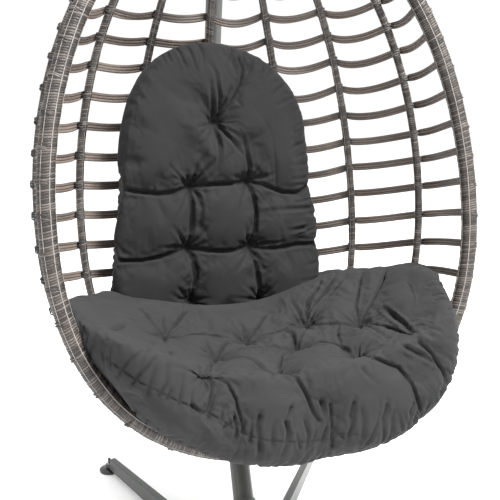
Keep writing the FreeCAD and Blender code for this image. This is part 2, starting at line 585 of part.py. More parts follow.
def band(z, count=17):
    b = b_of(z)
    th_end = acos(clamp(RIM_Y / b, -1.0, 1.0))
    # stop short of the rim's wrap
    while th_end > 0.5:
        p = row_point(z, th_end)
        zz = p.z
        if hypot(p.y - RIM_Y, abs(p.x) - rim_x(zz)) > RIM_R + 15.0:
            break
        th_end -= 0.004
    rails = {k: [] for k in ("ib", "it", "ob", "ot")}
    for i in range(count):
        th = -th_end + 2 * th_end * i / (count - 1.0)
        p, n, m = band_frame(z, th)
        r0 = RIB_R + 0.35
        r1 = r0 + BAND_T
        rails["ib"].append(p + n * r0 - m * (BAND_H / 2))
        rails["it"].append(p + n * r0 + m * (BAND_H / 2))
        rails["ob"].append(p + n * r1 - m * (BAND_H / 2))
        rails["ot"].append(p + n * r1 + m * (BAND_H / 2))
    edges = {}
    for k, pts in rails.items():
        c = Part.BSplineCurve()
        c.interpolate(pts)
        edges[k] = c.toShape()
    faces = [Part.makeRuledSurface(edges["ib"], edges["it"]), Part.makeRuledSurface(edges["ob"], edges["ot"]),
             Part.makeRuledSurface(edges["it"], edges["ot"]), Part.makeRuledSurface(edges["ib"], edges["ob"])]
    for i in (0, -1):
        faces.append(Part.Face(Part.makePolygon([rails["ib"][i], rails["it"][i], rails["ot"][i], rails["ob"][i], rails["ib"][i]])))
    shell = Part.Compound(faces)
    sewn = Part.makeShell(faces)
    sewn.sewShape()
    body = Part.makeSolid(sewn if sewn.ShapeType == "Shell" else sewn.Shells[0])
    if body.Volume < 0:
        body.reverse()
    return body


for i, z in enumerate(ROWS):
    basket("weave_row_%02d" % (i + 1), band(z))

# ---------------------------------------------------------------- cushions
INSET = 20.0
levels = [-541.0, -535.0, -522.0, -500.0, -470.0, -430.0, -380.0, -320.0, -250.0, -170.0, -80.0, 10.0, 100.0, 190.0, 270.0, 340.0]


def inset_z(z):
    # the level on the egg that the inset egg's level z stands for
    c = -72 * K
    return c + (z - c) * (EGG_BOTTOM - c) / (EGG_BOTTOM - c + INSET) if z < c else z


sections = []
for z in levels:
    zz = inset_z(z)
    a, b = a_of(zz) - INSET, b_of(zz) - INSET
    a, b = max(a, 14.0), max(b, 12.0)
    if a >= b:
        el = Part.Ellipse(V(a, 0, z), V(0, b, z), V(0, 0, z))
    else:
        el = Part.Ellipse(V(0, b, z), V(-a, 0, z), V(0, 0, z))
    sections.append(Part.Wire([el.toShape()]))
inside = Part.makeLoft(sections, True, False)
print("inside", inside.isValid(), inside.Volume)

# back pad: follows the back ribs, rounded at the top
BACK_X, BACK_HALF, BACK_LO, BACK_HI = -28.0, 228.0, -336.0, 296.0
BACK_FRONT, BACK_LEAN = 172.0, 7.0


def back_slab(grow):
    x0, x1, lo = BACK_X - BACK_HALF - grow, BACK_X + BACK_HALF + grow, BACK_LO - grow
    arc = [V(BACK_X - (BACK_HALF + grow) * cos(radians(q)), 0, 80.0 + (BACK_HI + grow - 80.0) * sin(radians(q))) for q in range(0, 181, 15)]
    c = Part.BSplineCurve()
    c.interpolate(arc)
    w = Part.Wire([Part.LineSegment(V(x0, 0, lo), arc[0]).toShape(), c.toShape(), Part.LineSegment(arc[-1], V(x1, 0, lo)).toShape(),
                   Part.LineSegment(V(x1, 0, lo), V(x0, 0, lo)).toShape()])
    slab = Part.Face(w).extrude(V(0, 420, 0))
    front = Part.makeBox(900, 700, 1200, V(-450, -700, -700))
    front.rotate(V(0, 0, 0), V(1, 0, 0), BACK_LEAN)
    front.translate(V(0, BACK_FRONT - grow, 0))
    return slab.cut(front)


back = inside.common(back_slab(0.0))
basket("back_cushion", back)

# seat pad: fills the bowl of the basket and is hollowed on top, with lobes that rise at the sides and a front roll that laps over the rim
BOWL_A, BOWL_B, BOWL_C = 632.0, 468.0, 600.0
BOWL_AT = V(0, -120.0, -385.0 + 600.0)
SEAT_TOP = -228.0
scale = FreeCAD.Matrix()
scale.scale(V(BOWL_A, BOWL_B, BOWL_C))
bowl = Part.makeSphere(1.0).transformGeometry(scale)
bowl.translate(BOWL_AT)
seat = inside.common(Part.makeBox(1000, 560, SEAT_TOP + 545.0, V(-500, -180.0, -545.0)))


def lip_wire(y, grow, z_top, reach):
    pts = []
    z_lo = RIM_BOTTOM_Z - grow
    n = 14
    for i in range(n + 1):
        w_ = radians(90.0 * i / n)
        z = z_top + (z_lo - z_top) * sin(w_)
        zz = clamp(z + grow * sin(w_), RIM_BOTTOM_Z, 0)
        x = rim_x(zz) + grow * cos(w_) if i < n else 0.0
        if x > 0:
            x = (x ** -8.0 + reach ** -8.0) ** (-1.0 / 8.0)
        pts.append((x, z))
    right_pts = [V(x, y, z) for x, z in pts]
    left_pts = [V(-p.x, y, p.z) for p in reversed(right_pts[:-1])]
    c = Part.BSplineCurve()
    c.interpolate(right_pts + left_pts)
    bottom = c.toShape()
    lid = Part.LineSegment(V(-pts[0][0], y, z_top), V(pts[0][0], y, z_top)).toShape()
    return Part.Wire([bottom, lid])


lip = Part.makeLoft([lip_wire(RIM_Y - 19.0, -2.0, -236.0, 408.0), lip_wire(RIM_Y - 50.0, 4.0, -244.0, 398.0), lip_wire(RIM_Y - 78.0, -4.0, -262.0, 378.0),
                     lip_wire(RIM_Y - 104.0, -30.0, -300.0, 340.0)], True, False)
print("lip", lip.isValid(), lip.Volume)
seat = seat.fuse(lip).cut(bowl).cut(back_slab(1.5))
seat = max(seat.Solids, key=lambda q: q.Volume)
seat = seat.removeSplitter()
basket("seat_cushion", seat)
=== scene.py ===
import bpy
import json
import math
import random
import numpy as np
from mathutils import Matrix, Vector, kdtree

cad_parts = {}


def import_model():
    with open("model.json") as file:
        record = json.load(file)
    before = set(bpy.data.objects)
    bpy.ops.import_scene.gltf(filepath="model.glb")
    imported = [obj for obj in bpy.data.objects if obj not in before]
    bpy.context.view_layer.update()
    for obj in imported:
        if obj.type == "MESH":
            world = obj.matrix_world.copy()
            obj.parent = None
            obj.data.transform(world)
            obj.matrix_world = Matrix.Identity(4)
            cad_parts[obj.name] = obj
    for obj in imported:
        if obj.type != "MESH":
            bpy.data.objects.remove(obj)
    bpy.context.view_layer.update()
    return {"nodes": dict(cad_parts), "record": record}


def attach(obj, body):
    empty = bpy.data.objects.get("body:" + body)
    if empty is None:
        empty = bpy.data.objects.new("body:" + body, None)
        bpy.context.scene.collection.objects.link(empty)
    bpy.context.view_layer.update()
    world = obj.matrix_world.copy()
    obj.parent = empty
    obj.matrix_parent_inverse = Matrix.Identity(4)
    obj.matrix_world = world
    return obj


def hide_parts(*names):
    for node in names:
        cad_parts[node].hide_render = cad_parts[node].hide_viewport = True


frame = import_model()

NODES = frame["nodes"]
rng = np.random.RandomState(7)
random.seed(7)

# ---------------------------------------------------------------- basket surface, mm in the basket's own frame
K = 0.93
TILT = -0.1906734826387141
TURN = math.radians(11.3)
RING_Z = 1023.0
HANG_Y = 79.1
RIM_Y = -92.0 * K
RIM_R = 17.5
RIB_R = 9.0
EGG_TOP = 648.0 * K
MID = -72.0 * K
RIM_TOP_Z = K * (-290 + 938 * math.sqrt(1 - (92 / 387.0) ** 2))
RIM_BOTTOM_Z = K * (-290 - 315 * math.sqrt(1 - (92 / 387.0) ** 2))
RIBS = {"centre": (0.0, 0.0), "left_1": (-24.7, -3.2), "left_2": (-45.8, -0.9), "left_3": (-72.9, 0.8),
        "right_1": (24.7, 3.2), "right_2": (45.8, 0.9), "right_3": (72.9, -0.8)}
ROWS = [K * z for z in (575, 520, 462, 402, 344, 283, 214, 143, 70, 0, -72, -147, -220, -290, -360, -428, -490, -543)]
BB, ZC, HT, HB = 387.0 * K, -290.0 * K, 938.0 * K, 315.0 * K


def a_of(z):
    z = np.asarray(z, float) / K
    up = np.sqrt(np.clip(1 - ((z + 72) / 720.0) ** 2, 0, None))
    q = np.clip((-72 - z) / 533.0, 0, None)
    lo = np.clip(1 - q ** 2.3, 0, None) ** (1 / 2.3)
    return K * 500 * np.where(z >= -72, up, lo)


def b_of(z):
    z = np.asarray(z, float) / K
    up = np.sqrt(np.clip(1 - ((z + 290) / 938.0) ** 2, 0, None))
    lo = np.sqrt(np.clip(1 - ((z + 290) / 315.0) ** 2, 0, None))
    return K * 387 * np.where(z >= -290, up, lo)


def rib_angle(name, z):
    t0, t1 = RIBS[name]
    return np.radians(t0 + t1 * np.clip(-(np.asarray(z, float) / K - 70) / 346.0, -1.25, 1.6))


def rim_x(z):
    b = np.maximum(b_of(z), abs(RIM_Y))
    return a_of(z) * np.sqrt(np.clip(1 - (RIM_Y / b) ** 2, 0, None))


def row_point(z, th):
    th = np.asarray(th, float)
    a, b = float(a_of(z)), float(b_of(z))
    x = a * np.sin(th)
    f = np.clip(-(z / K - 70) / 346.0, -1.4, 1.2)
    zz = z + K * (13.1 + 21.2 * f) * (x / (500 * K)) ** 2
    return np.stack([a_of(zz) * np.sin(th), b_of(zz) * np.cos(th), zz], -1)


def world(p):
    """mm in the basket's frame to metres in the row frame"""
    p = np.asarray(p, float)
    c, s = math.cos(TILT), math.sin(TILT)
    x, y, z = p[..., 0], p[..., 1] * c - p[..., 2] * s - HANG_Y, p[..., 1] * s + p[..., 2] * c
    ct, st = math.cos(TURN), math.sin(TURN)
    return np.stack([x * ct - y * st, x * st + y * ct, z + RING_Z], -1) / 1000.0


def local(p):
    """metres in the row frame to mm in the basket's frame"""
    p = np.asarray(p, float) * 1000.0
    ct, st = math.cos(TURN), math.sin(TURN)
    x, y, z = p[..., 0] * ct + p[..., 1] * st, -p[..., 0] * st + p[..., 1] * ct + HANG_Y, p[..., 2] - RING_Z
    c, s = math.cos(TILT), math.sin(TILT)
    return np.stack([x, y * c + z * s, -y * s + z * c], -1)


def norm(v):
    return v / np.maximum(np.linalg.norm(v, axis=-1, keepdims=True), 1e-9)


def smooth_noise(n, step, seed, closed=False):
    """a smooth random line of n values, one free value every step"""
    r = np.random.RandomState(seed)
    m = max(4, int(n / step) + 3)
    v = r.randn(m)
    if closed:
        v[-1] = v[0]
    return np.interp(np.linspace(0, m - 1, n), np.arange(m), v)


# ---------------------------------------------------------------- meshes
def make_object(name, verts, faces, tone=None, smooth=True):
    me = bpy.data.meshes.new(name)
    me.from_pydata([tuple(v) for v in verts], [], [tuple(f) for f in faces])
    me.update()
    if smooth:
        me.polygons.foreach_set("use_smooth", [True] * len(me.polygons))
    if tone is not None:
        at = me.attributes.new("tone", "FLOAT", "POINT")
        at.data.foreach_set("value", np.asarray(tone, np.float32))
    o = bpy.data.objects.new(name, me)
    bpy.context.scene.collection.objects.link(o)
    return o


def grid_faces(n, m, closed_n, closed_m, off=0):
    faces = []
    for i in range(n if closed_n else n - 1):
        i2 = (i + 1) % n
        for j in range(m if closed_m else m - 1):
            j2 = (j + 1) % m
            faces.append((off + i * m + j, off + i * m + j2, off + i2 * m + j2, off + i2 * m + j))
    return faces


class Build:
    """collects several swept surfaces into one mesh with material numbers"""

    def __init__(self):
        self.v, self.f, self.t, self.m = [], [], [], []
        self.n = 0

    def add(self, verts, faces, tone, mat=0):
        self.v.append(verts)
        self.t.append(np.broadcast_to(np.asarray(tone, float), (len(verts),)))
        self.f += [tuple(k + self.n for k in f) for f in faces]
        self.m += [mat] * len(faces)
        self.n += len(verts)

    def sweep(self, pts, closed_n, tone, mat=0, caps=True):
        """pts is rings x around x 3"""
        n, m = pts.shape[:2]
        faces = grid_faces(n, m, closed_n, True)
        if caps and not closed_n:
            faces.append(tuple(range(m)))
            faces.append(tuple((n - 1) * m + k for k in reversed(range(m))))
        self.add(pts.reshape(-1, 3), faces, np.broadcast_to(tone, (n, m)).reshape(-1) if np.ndim(tone) < 2 else np.asarray(tone).reshape(-1), mat)

    def object(self, name, mats):
        o = make_object(name, np.concatenate(self.v), self.f, np.concatenate(self.t))
        for m in mats:
            o.data.materials.append(m)
        o.data.polygons.foreach_set("material_index", self.m)
        o.data.update()
        return o


def resample(p, step, closed):
    q = np.vstack([p, p[:1]]) if closed else p
    s = np.concatenate([[0], np.cumsum(np.linalg.norm(np.diff(q, axis=0), axis=1))])
    n = max(4, int(round(s[-1] / step)))
    u = np.linspace(0, s[-1], n + 1)
    out = np.stack([np.interp(u, s, q[:, k]) for k in range(3)], -1)
    return (out[:-1] if closed else out), s[-1]


def tangents(p, closed):
    if closed:
        return norm(np.roll(p, -1, 0) - np.roll(p, 1, 0))
    return norm(np.gradient(p, axis=0))


def ring_on(c, e1, e2, r, wire, tilt=0.0, axis=None, n=28, m=8, squash=1.0):
    """a loop of strand round centre c in the plane e1, e2, tipped along axis"""
    a = np.linspace(0, 2 * math.pi, n, endpoint=False)[:, None]
    d = np.cos(a) * e1 + np.sin(a) * e2 * squash
    core = c + d * r + axis * (np.sin(a + 0.6) * tilt)
    t = norm(np.roll(core, -1, 0) - np.roll(core, 1, 0))
    nn = norm(d)
    bb = np.cross(t, nn)
    b = np.linspace(0, 2 * math.pi, m, endpoint=False)[None, :, None]
    return core[:, None] + (np.cos(b) * nn[:, None] * 0.75 + np.sin(b) * bb[:, None]) * wire


def wound(build, path, e1, e2, closed, radius, pitch, height, m, seed, bumps=(), spine=(), spine_w=3.0, twist=0.0):
    """a tube wound with strand: rings along path, e1 and e2 across it; spine is a list of angle arrays"""
    n = len(path)
    step = np.linalg.norm(path[1] - path[0])
    s = np.arange(n) * step
    total = step * n
    pitch = total / round(total / pitch) if closed else pitch
    r0 = np.random.RandomState(seed)
    wander = smooth_noise(n, 18 / step, seed + 1, closed) * 0.16
    ph = np.linspace(0, 2 * math.pi, m, endpoint=False)
    skew = np.sin(ph[None, :] + twist) * 0.55
    u = (s[:, None] / pitch) + wander[:, None] + skew
    frac = u - np.floor(u)
    ridge = np.sqrt(np.clip(1 - (2 * frac - 1) ** 2 * 0.97, 0, 1))
    tab = r0.rand(4096)
    key = np.floor(u).astype(int) % 4096
    tone = 0.16 + tab[key] * 0.62 + 0.26 * r0.rand(n, m)
    lift = tab[(key * 7 + 3) % 4096]
    r = radius - height * 1.2 + height * ridge * (0.75 + 0.5 * lift)
    r = r + smooth_noise(n, 26 / step, seed + 2, closed)[:, None] * 0.22
    for at, width, up in bumps:
        d = np.abs(s - at)
        if closed:
            d = np.minimum(d, total - d)
        r = r + (up * np.exp(-(d / width) ** 2))[:, None]
    pts = path[:, None] + r[..., None] * (np.cos(ph)[None, :, None] * e1[:, None] + np.sin(ph)[None, :, None] * e2[:, None])
    # painted shade: the tone is darkened almost to black in the grooves between the wraps
    tone = tone * (0.05 + 0.95 * ridge ** 2.6)
    build.sweep(world(pts), closed, tone, 0)
    for k, ang in enumerate(spine):
        ang = ang + smooth_noise(n, 60 / step, seed + 11 + k, closed) * 0.035
        over = 0.5 + 0.5 * np.sin(2 * math.pi * s / (pitch * 2.0) + k * 2.1)
        rr = radius + height * 0.05 - height * 0.35 * (over < 0.10)
        for at, width, up in bumps:
            d = np.abs(s - at)
            if closed:
                d = np.minimum(d, total - d)
            rr = rr + up * np.exp(-(d / width) ** 2)
        da = (spine_w[k] if isinstance(spine_w, (list, tuple)) else spine_w) / radius / 2.0
        prof = [(-1.0, -0.7), (-0.8, 0.05), (-0.3, 0.35), (0.3, 0.35), (0.8, 0.05), (1.0, -0.7)]
        cols = []
        for w, h in prof:
            aa = ang + w * da
            rad = rr + h
            cols.append(path + rad[:, None] * (np.cos(aa)[:, None] * e1 + np.sin(aa)[:, None] * e2))
        build.sweep(world(np.stack(cols, 1)), closed, 0.45 + 0.3 * r0.rand(n)[:, None] + np.zeros((n, 6)), 1)


# ---------------------------------------------------------------- materials
def new_mat(name):
    m = bpy.data.materials.new(name)
    m.use_nodes = True
    nt = m.node_tree
    return m, nt, nt.nodes["Principled BSDF"]


def node(nt, kind, **kw):
    n = nt.nodes.new(kind)
    for k, v in kw.items():
        setattr(n, k, v)
    return n


def ramp(nt, fac, stops):
    r = node(nt, "ShaderNodeValToRGB")
    els = r.color_ramp.elements
    while len(els) > 1:
        els.remove(els[-1])
    els[0].position, els[0].color = stops[0][0], (*stops[0][1], 1)
    for p, c in stops[1:]:
        e = els.new(p)
        e.color = (*c, 1)
    nt.links.new(fac, r.inputs[0])
    return r.outputs[0]


def noise(nt, scale, detail=3.0, rough=0.5, vec=None, dist=0.0):
    n = node(nt, "ShaderNodeTexNoise")
    n.inputs["Scale"].default_value = scale
    n.inputs["Detail"].default_value = detail
    n.inputs["Roughness"].default_value = rough
    n.inputs["Distortion"].default_value = dist
    if vec is not None:
        nt.links.new(vec, n.inputs["Vector"])
    return n.outputs["Fac"]


def mapped(nt, scale):
    tc = node(nt, "ShaderNodeTexCoord")
    mp = node(nt, "ShaderNodeMapping")
    mp.inputs["Scale"].default_value = scale
    nt.links.new(tc.outputs["Object"], mp.inputs["Vector"])
    return mp.outputs["Vector"]


def math_node(nt, op, a, b):
    n = node(nt, "ShaderNodeMath", operation=op)
    for i, v in enumerate((a, b)):
        if isinstance(v, (int, float)):
            n.inputs[i].default_value = v
        else:
            nt.links.new(v, n.inputs[i])
    return n.outputs[0]


def bump(nt, bsdf, h, strength, distance):
    b = node(nt, "ShaderNodeBump")
    b.inputs["Strength"].default_value = strength
    b.inputs["Distance"].default_value = distance
    nt.links.new(h, b.inputs["Height"])
    nt.links.new(b.outputs["Normal"], bsdf.inputs["Normal"])


def strand_material(name, stops, rough=0.46, fine=900.0):
    m, nt, bs = new_mat(name)
    at = node(nt, "ShaderNodeAttribute", attribute_name="tone")
    coarse = noise(nt, 70.0, 3.0, 0.6)
    streak = noise(nt, fine, 2.0, 0.6)
    mix = math_node(nt, "ADD", math_node(nt, "MULTIPLY", at.outputs["Fac"], 0.62), math_node(nt, "MULTIPLY", coarse, 0.22))
    mix = math_node(nt, "ADD", mix, math_node(nt, "MULTIPLY", streak, 0.16))
    nt.links.new(ramp(nt, mix, stops), bs.inputs["Base Color"])
    bs.inputs["Roughness"].default_value = rough
    bs.inputs["Specular IOR Level"].default_value = 0.45
    bump(nt, bs, streak, 0.35, 0.0008)
    return m


wrap_mat = strand_material("strand_wrap", [(0.12, (0.004, 0.0031, 0.0027)), (0.30, (0.014, 0.0110, 0.0092)), (0.50, (0.046, 0.037, 0.0315)), (0.76, (0.150, 0.128, 0.113))])
rib_mat = strand_material("strand_rib", [(0.12, (0.005, 0.0039, 0.0033)), (0.32, (0.017, 0.0135, 0.0115)), (0.52, (0.058, 0.048, 0.042)), (0.80, (0.200, 0.178, 0.160))])
band_mat = strand_material("strand_band", [(0.10, (0.014, 0.0105, 0.0088)), (0.34, (0.066, 0.051, 0.043)), (0.58, (0.165, 0.134, 0.114)), (0.85, (0.290, 0.248, 0.218))], rough=0.42)
spine_mat = strand_material("strand_light", [(0.15, (0.09, 0.084, 0.078)), (0.5, (0.185, 0.175, 0.166)), (0.9, (0.31, 0.298, 0.285))], rough=0.45)
knot_mat = strand_material("strand_knot", [(0.12, (0.007, 0.006, 0.006)), (0.45, (0.026, 0.023, 0.021)), (0.8, (0.085, 0.077, 0.070))])


def fabric_material(name, lo, mid, hi):
    m, nt, bs = new_mat(name)
    v = mapped(nt, (1.0, 1.0, 1.0))
    w1 = node(nt, "ShaderNodeTexWave", wave_type="BANDS", bands_direction="X")
    w2 = node(nt, "ShaderNodeTexWave", wave_type="BANDS", bands_direction="Z")
    for w in (w1, w2):
        w.inputs["Scale"].default_value = 420.0
        w.inputs["Distortion"].default_value = 1.2
        w.inputs["Detail"].default_value = 1.0
        nt.links.new(v, w.inputs["Vector"])
    weave = math_node(nt, "ADD", w1.outputs["Fac"], w2.outputs["Fac"])
    cloud = noise(nt, 9.0, 4.0, 0.55)
    fine = noise(nt, 700.0, 2.0, 0.5)
    f = math_node(nt, "ADD", math_node(nt, "MULTIPLY", cloud, 0.5), math_node(nt, "MULTIPLY", fine, 0.5))
    cloth_col = ramp(nt, f, [(0.30, (lo, lo, lo * 1.03)), (0.55, (mid, mid, mid * 1.03)), (0.75, (hi, hi, hi * 1.03))])
    # painted shade: the base colour is mixed towards near black by the fold attribute, in the bottoms of the creases
    # and in the tufts' pits
    painted_fold_shade = node(nt, "ShaderNodeAttribute", attribute_name="painted_fold_shade")
    painted_shade_mix = node(nt, "ShaderNodeMix", data_type="RGBA", blend_type="MIX")
    nt.links.new(math_node(nt, "MULTIPLY", painted_fold_shade.outputs["Fac"], 0.92), painted_shade_mix.inputs["Factor"])
    nt.links.new(cloth_col, painted_shade_mix.inputs[6])
    # the painted shade's colour, near black
    painted_shade_mix.inputs[7].default_value = (0.0022, 0.0022, 0.0023, 1)
    nt.links.new(painted_shade_mix.outputs[2], bs.inputs["Base Color"])
    bs.inputs["Roughness"].default_value = 0.86
    bs.inputs["Specular IOR Level"].default_value = 0.16
    bs.inputs["Sheen Weight"].default_value = 0.035
    bs.inputs["Sheen Roughness"].default_value = 0.45
    bs.inputs["Sheen Tint"].default_value = (0.75, 0.77, 0.80, 1)
    pucker = noise(nt, 38.0, 3.0, 0.55, mapped(nt, (1.0, 1.0, 1.6)))
    h = math_node(nt, "ADD", math_node(nt, "MULTIPLY", weave, 0.10), math_node(nt, "MULTIPLY", pucker, 1.0))
    bump(nt, bs, h, 0.30, 0.003)
    return m


def metal_material(name, lo, hi, rough, metallic=0.0, coat=0.0, scale=260.0, bump_d=0.0004):
    m, nt, bs = new_mat(name)
    f = math_node(nt, "ADD", math_node(nt, "MULTIPLY", noise(nt, 14.0, 4.0, 0.6), 0.5), math_node(nt, "MULTIPLY", noise(nt, scale, 2.0, 0.5), 0.5))
    nt.links.new(ramp(nt, f, [(0.35, lo), (0.65, hi)]), bs.inputs["Base Color"])
    r = node(nt, "ShaderNodeMapRange")
    r.inputs["To Min"].default_value = rough - 0.06
    r.inputs["To Max"].default_value = rough + 0.08
    nt.links.new(noise(nt, 22.0, 3.0, 0.6), r.inputs["Value"])
    nt.links.new(r.outputs["Result"], bs.inputs["Roughness"])
    bs.inputs["Metallic"].default_value = metallic
    bs.inputs["Coat Weight"].default_value = coat
    bump(nt, bs, noise(nt, scale * 4, 2.0, 0.5), 0.25, bump_d)
    return m


fabric_mat = fabric_material("cushion_polyester", 0.0180, 0.0230, 0.0284)
# painted shade: the back pad gets a darker copy of the same cushion fabric, for the shade it lies in
back_fabric_painted_shade = fabric_material("cushion_polyester_back_painted_shade", 0.0140, 0.0176, 0.0216)
thread_mat = strand_material("stitch_thread", [(0.2, (0.030, 0.030, 0.032)), (0.8, (0.10, 0.10, 0.105))], rough=0.7)
coat_mat = metal_material("powder_coat_grey", (0.052, 0.054, 0.052), (0.075, 0.078, 0.074), 0.40, 0.15, 0.12)
zinc_mat = metal_material("zinc_plate", (0.44, 0.43, 0.41), (0.62, 0.61, 0.59), 0.32, 1.0)
steel_mat = metal_material("basket_coat", (0.050, 0.044, 0.038), (0.085, 0.075, 0.066), 0.45, 0.1)
foot_mat = metal_material("foot_black", (0.008, 0.008, 0.009), (0.016, 0.016, 0.017), 0.28, 0.0, 0.3)
cap_mat = metal_material("cap_black", (0.012, 0.012, 0.012), (0.022, 0.022, 0.022), 0.5)
SLOT_MATS = {"powder_coat": coat_mat, "hardware": zinc_mat, "basket_steel": steel_mat, "foot_plastic": foot_mat, "cap_plastic": cap_mat,
             "wicker": wrap_mat, "cushion_fabric": fabric_mat}
for sp in frame["record"]["subparts"]:
    o = NODES.get(sp["node"])
    if o is None:
        continue
    o.data.materials.clear()
    o.data.materials.append(SLOT_MATS[sp["material_slot"]])
for n in ("upper_shackle", "upper_shackle_pin", "lower_shackle", "lower_shackle_pin", "swivel_head", "swivel_stem", "hanging_eye"):
    NODES[n].data.materials[0] = zinc_mat

# ---------------------------------------------------------------- rim
psi = np.linspace(0, math.pi / 2, 160, endpoint=False)
z_up = MID + (RIM_TOP_Z - MID) * np.cos(psi)
z_dn = MID - (MID - RIM_BOTTOM_Z) * np.sin(np.linspace(0, math.pi / 2, 160))
zz = np.concatenate([z_up, z_dn])
xx = rim_x(zz)
xx[0] = 0.0
xx[-1] = 0.0
right = np.stack([xx, np.full_like(zz, RIM_Y), zz], -1)
left = right[1:-1][::-1] * np.array([-1, 1, 1])
rim_path, rim_len = resample(np.vstack([right, left]), 1.15, True)
rt = tangents(rim_path, True)
front = np.tile(np.array([0.0, -1.0, 0.0]), (len(rim_path), 1))
outw = norm(np.cross(rt, front))
mid_c = np.array([0, RIM_Y, 0])
if ((rim_path - mid_c) * outw).sum() < 0:
    outw = -outw

row_hits = []
step = np.linalg.norm(rim_path[1] - rim_path[0])
for z in ROWS:
    b = float(b_of(z))
    th = math.acos(max(-1.0, min(1.0, RIM_Y / b)))
    p = row_point(z, th)
    for sx in (1, -1):
        q = np.array([abs(p[0]) * sx, RIM_Y, p[2]])
        i = int(np.argmin(((rim_path - q) ** 2).sum(1)))
        row_hits.append((i, sx, z))
side = rim_path[:, 0] / np.abs(rim_path[:, 0]).max()
rim = Build()
wound(rim, rim_path, front, outw, True, RIM_R - 0.1, 5.0, 1.5, 40, 101,
      bumps=[(i * step, 8.0, 0.35 + 0.3 * rng.rand()) for i, sx, z in row_hits],
      spine=[np.radians(-22.5 - 5.5 * side), np.radians(41 + 0 * side), np.radians(-91 + 0 * side), np.radians(165 + 0 * side)], spine_w=[2.2, 1.4, 1.5, 1.9], twist=0.4)
for i, sx, z in row_hits:
    for k in range(2):
        j = (i + int((k - 1) * 5.2 / step) + rng.randint(-1, 2)) % len(rim_path)
        rim.add(*(lambda P: (world(P).reshape(-1, 3), grid_faces(P.shape[0], P.shape[1], True, True)))(
            ring_on(rim_path[j] + outw[j] * (1.3 + 1.2 * rng.rand()) - front[j] * 1.2, front[j], outw[j], RIM_R - 0.5, 1.9, 2.5 + 2.0 * rng.rand(), rt[j], 32, 8)),
            0.15 + 0.6 * rng.rand(), 0)
rim_obj = rim.object("rim_winding", [wrap_mat, spine_mat])
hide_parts("rim_wrap")
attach(rim_obj, "basket")

# ---------------------------------------------------------------- ribs
RING_RHO = 44.0


def rib_path(name):
    w = math.degrees(math.acos(62.0 / BB))
    if name == "centre":
        ws = np.radians(np.linspace(w, -w, 200))
        return np.stack([np.zeros(200), BB * np.cos(ws), ZC + np.where(ws >= 0, HT, HB) * np.sin(ws)], -1)
    top = ZC + HT * math.sin(math.radians(w))
    u = math.asin((top - MID) / (EGG_TOP - MID))
    hi = MID + (EGG_TOP - MID) * np.sin(np.linspace(u, 0, 90))
    mid = np.linspace(MID, ZC, 60)[1:]
    lo = ZC - HB * np.sin(np.radians(np.linspace(0, w, 70)))[1:]
    z = np.concatenate([hi, mid, lo])
    th = rib_angle(name, z)
    return np.stack([a_of(z) * np.sin(th), b_of(z) * np.cos(th), z], -1)


rib_info = {}
for idx, name in enumerate(RIBS):
    path, length = resample(rib_path(name), 1.2, False)
    t = tangents(path, False)
    outward = norm(path * np.array([1.0 / 500 ** 2, 1.0 / 387 ** 2, 0.25 / 700 ** 2]) + np.array([0, 1e-9, 0]))
    outward = norm(outward - (outward * t).sum(1, keepdims=True) * t)
    inward = -outward
    across = np.cross(t, inward)
    knots = []
    for z in ROWS:
        th = float(rib_angle(name, z)) if name != "centre" else 0.0
        p = row_point(z, th)
        i = int(np.argmin(((path - p) ** 2).sum(1)))
        knots.append(i)
    st = np.linalg.norm(path[1] - path[0])
    rib = Build()
    spine = [np.full(len(path), 0.45 + 0.15 * math.sin(idx * 2.3)), np.full(len(path), 2.6)]
    wound(rib, path, inward, across, False, RIB_R - 0.05, 4.8, 1.15, 22, 300 + idx, bumps=[(k * st, 7.0, 0.3) for k in knots], spine=spine, spine_w=[1.0, 1.0], twist=0.9 * idx)
    for k in knots:
        for j in range(4):
            i = min(max(k + int((j - 1.5) * 3.6 / st) + rng.randint(-1, 2), 2), len(path) - 3)
            P = ring_on(path[i] + outward[i] * 2.6, inward[i], across[i], RIB_R + 0.4 + 0.6 * rng.rand(), 1.7, (3.6 if j % 2 else -3.6) + rng.rand() - 0.5, t[i], 26, 8)
            rib.add(world(P).reshape(-1, 3), grid_faces(26, 8, True, True), 0.15 + 0.6 * rng.rand(), 2)
    o = rib.object("rib_winding_" + name, [rib_mat, spine_mat, knot_mat])
    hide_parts("rib_wrap_" + name)
    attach(o, "basket")
    rib_info[name] = (path, knots)

# ---------------------------------------------------------------- woven bands
SAG = [16.0, 15.0, 14.0, 11.5, 8.5, 7.0, 5.0, 4.0, 3.2, 2.6, 2.2, 2.0, 2.0, 1.6, 1.4, 1.2, 1.0, 1.0]
BAY = [0.55, 0.75, 0.85, 0.95, 1.15, 1.75, 1.65, 0.4]
MORE = {3: (0, 7, -4, -4.5, 4, -5, -8, 0), 4: (0, 7, -3.5, -3.5, 5, 2, -4, 0), 5: (0, 7, -3, -3.5, 5, 4, 2, 0), 6: (0, 7, -1, -1, 3, 10, 6, 0),
        7: (0, 6, 0, 0, 0, 3, 2, 0), 8: (0, 6, 0, 0, 0, 5, -1, 0), 9: (0, 5, 0, 0, 0, 5, -3, 0), 10: (0, 4, 0, 0, 0, 3, -2, 0)}
CLIMB = [10, 13, 15, 17, 18, 18, 16, 14, 13, 13, 10, 6, 3, 0, 0, 0, 0, 0]
LOW = [1.25, 1.2, 1.1, 1.0, 0.9, 0.72, 0.68, 0.8]
order = ["left_3", "left_2", "left_1", "centre", "right_1", "right_2", "right_3"]
NPR = 22
HALF = 9.3
prof = []
for k in range(NPR):
    w = -HALF + 2 * HALF * k / (NPR - 1)
    lobe = abs(math.sin(3 * math.pi * (w + HALF) / (2 * HALF))) ** 0.55
    prof.append((w, 0.55 + 1.65 * lobe))
section = prof + [(w, -h) for w, h in reversed(prof)]
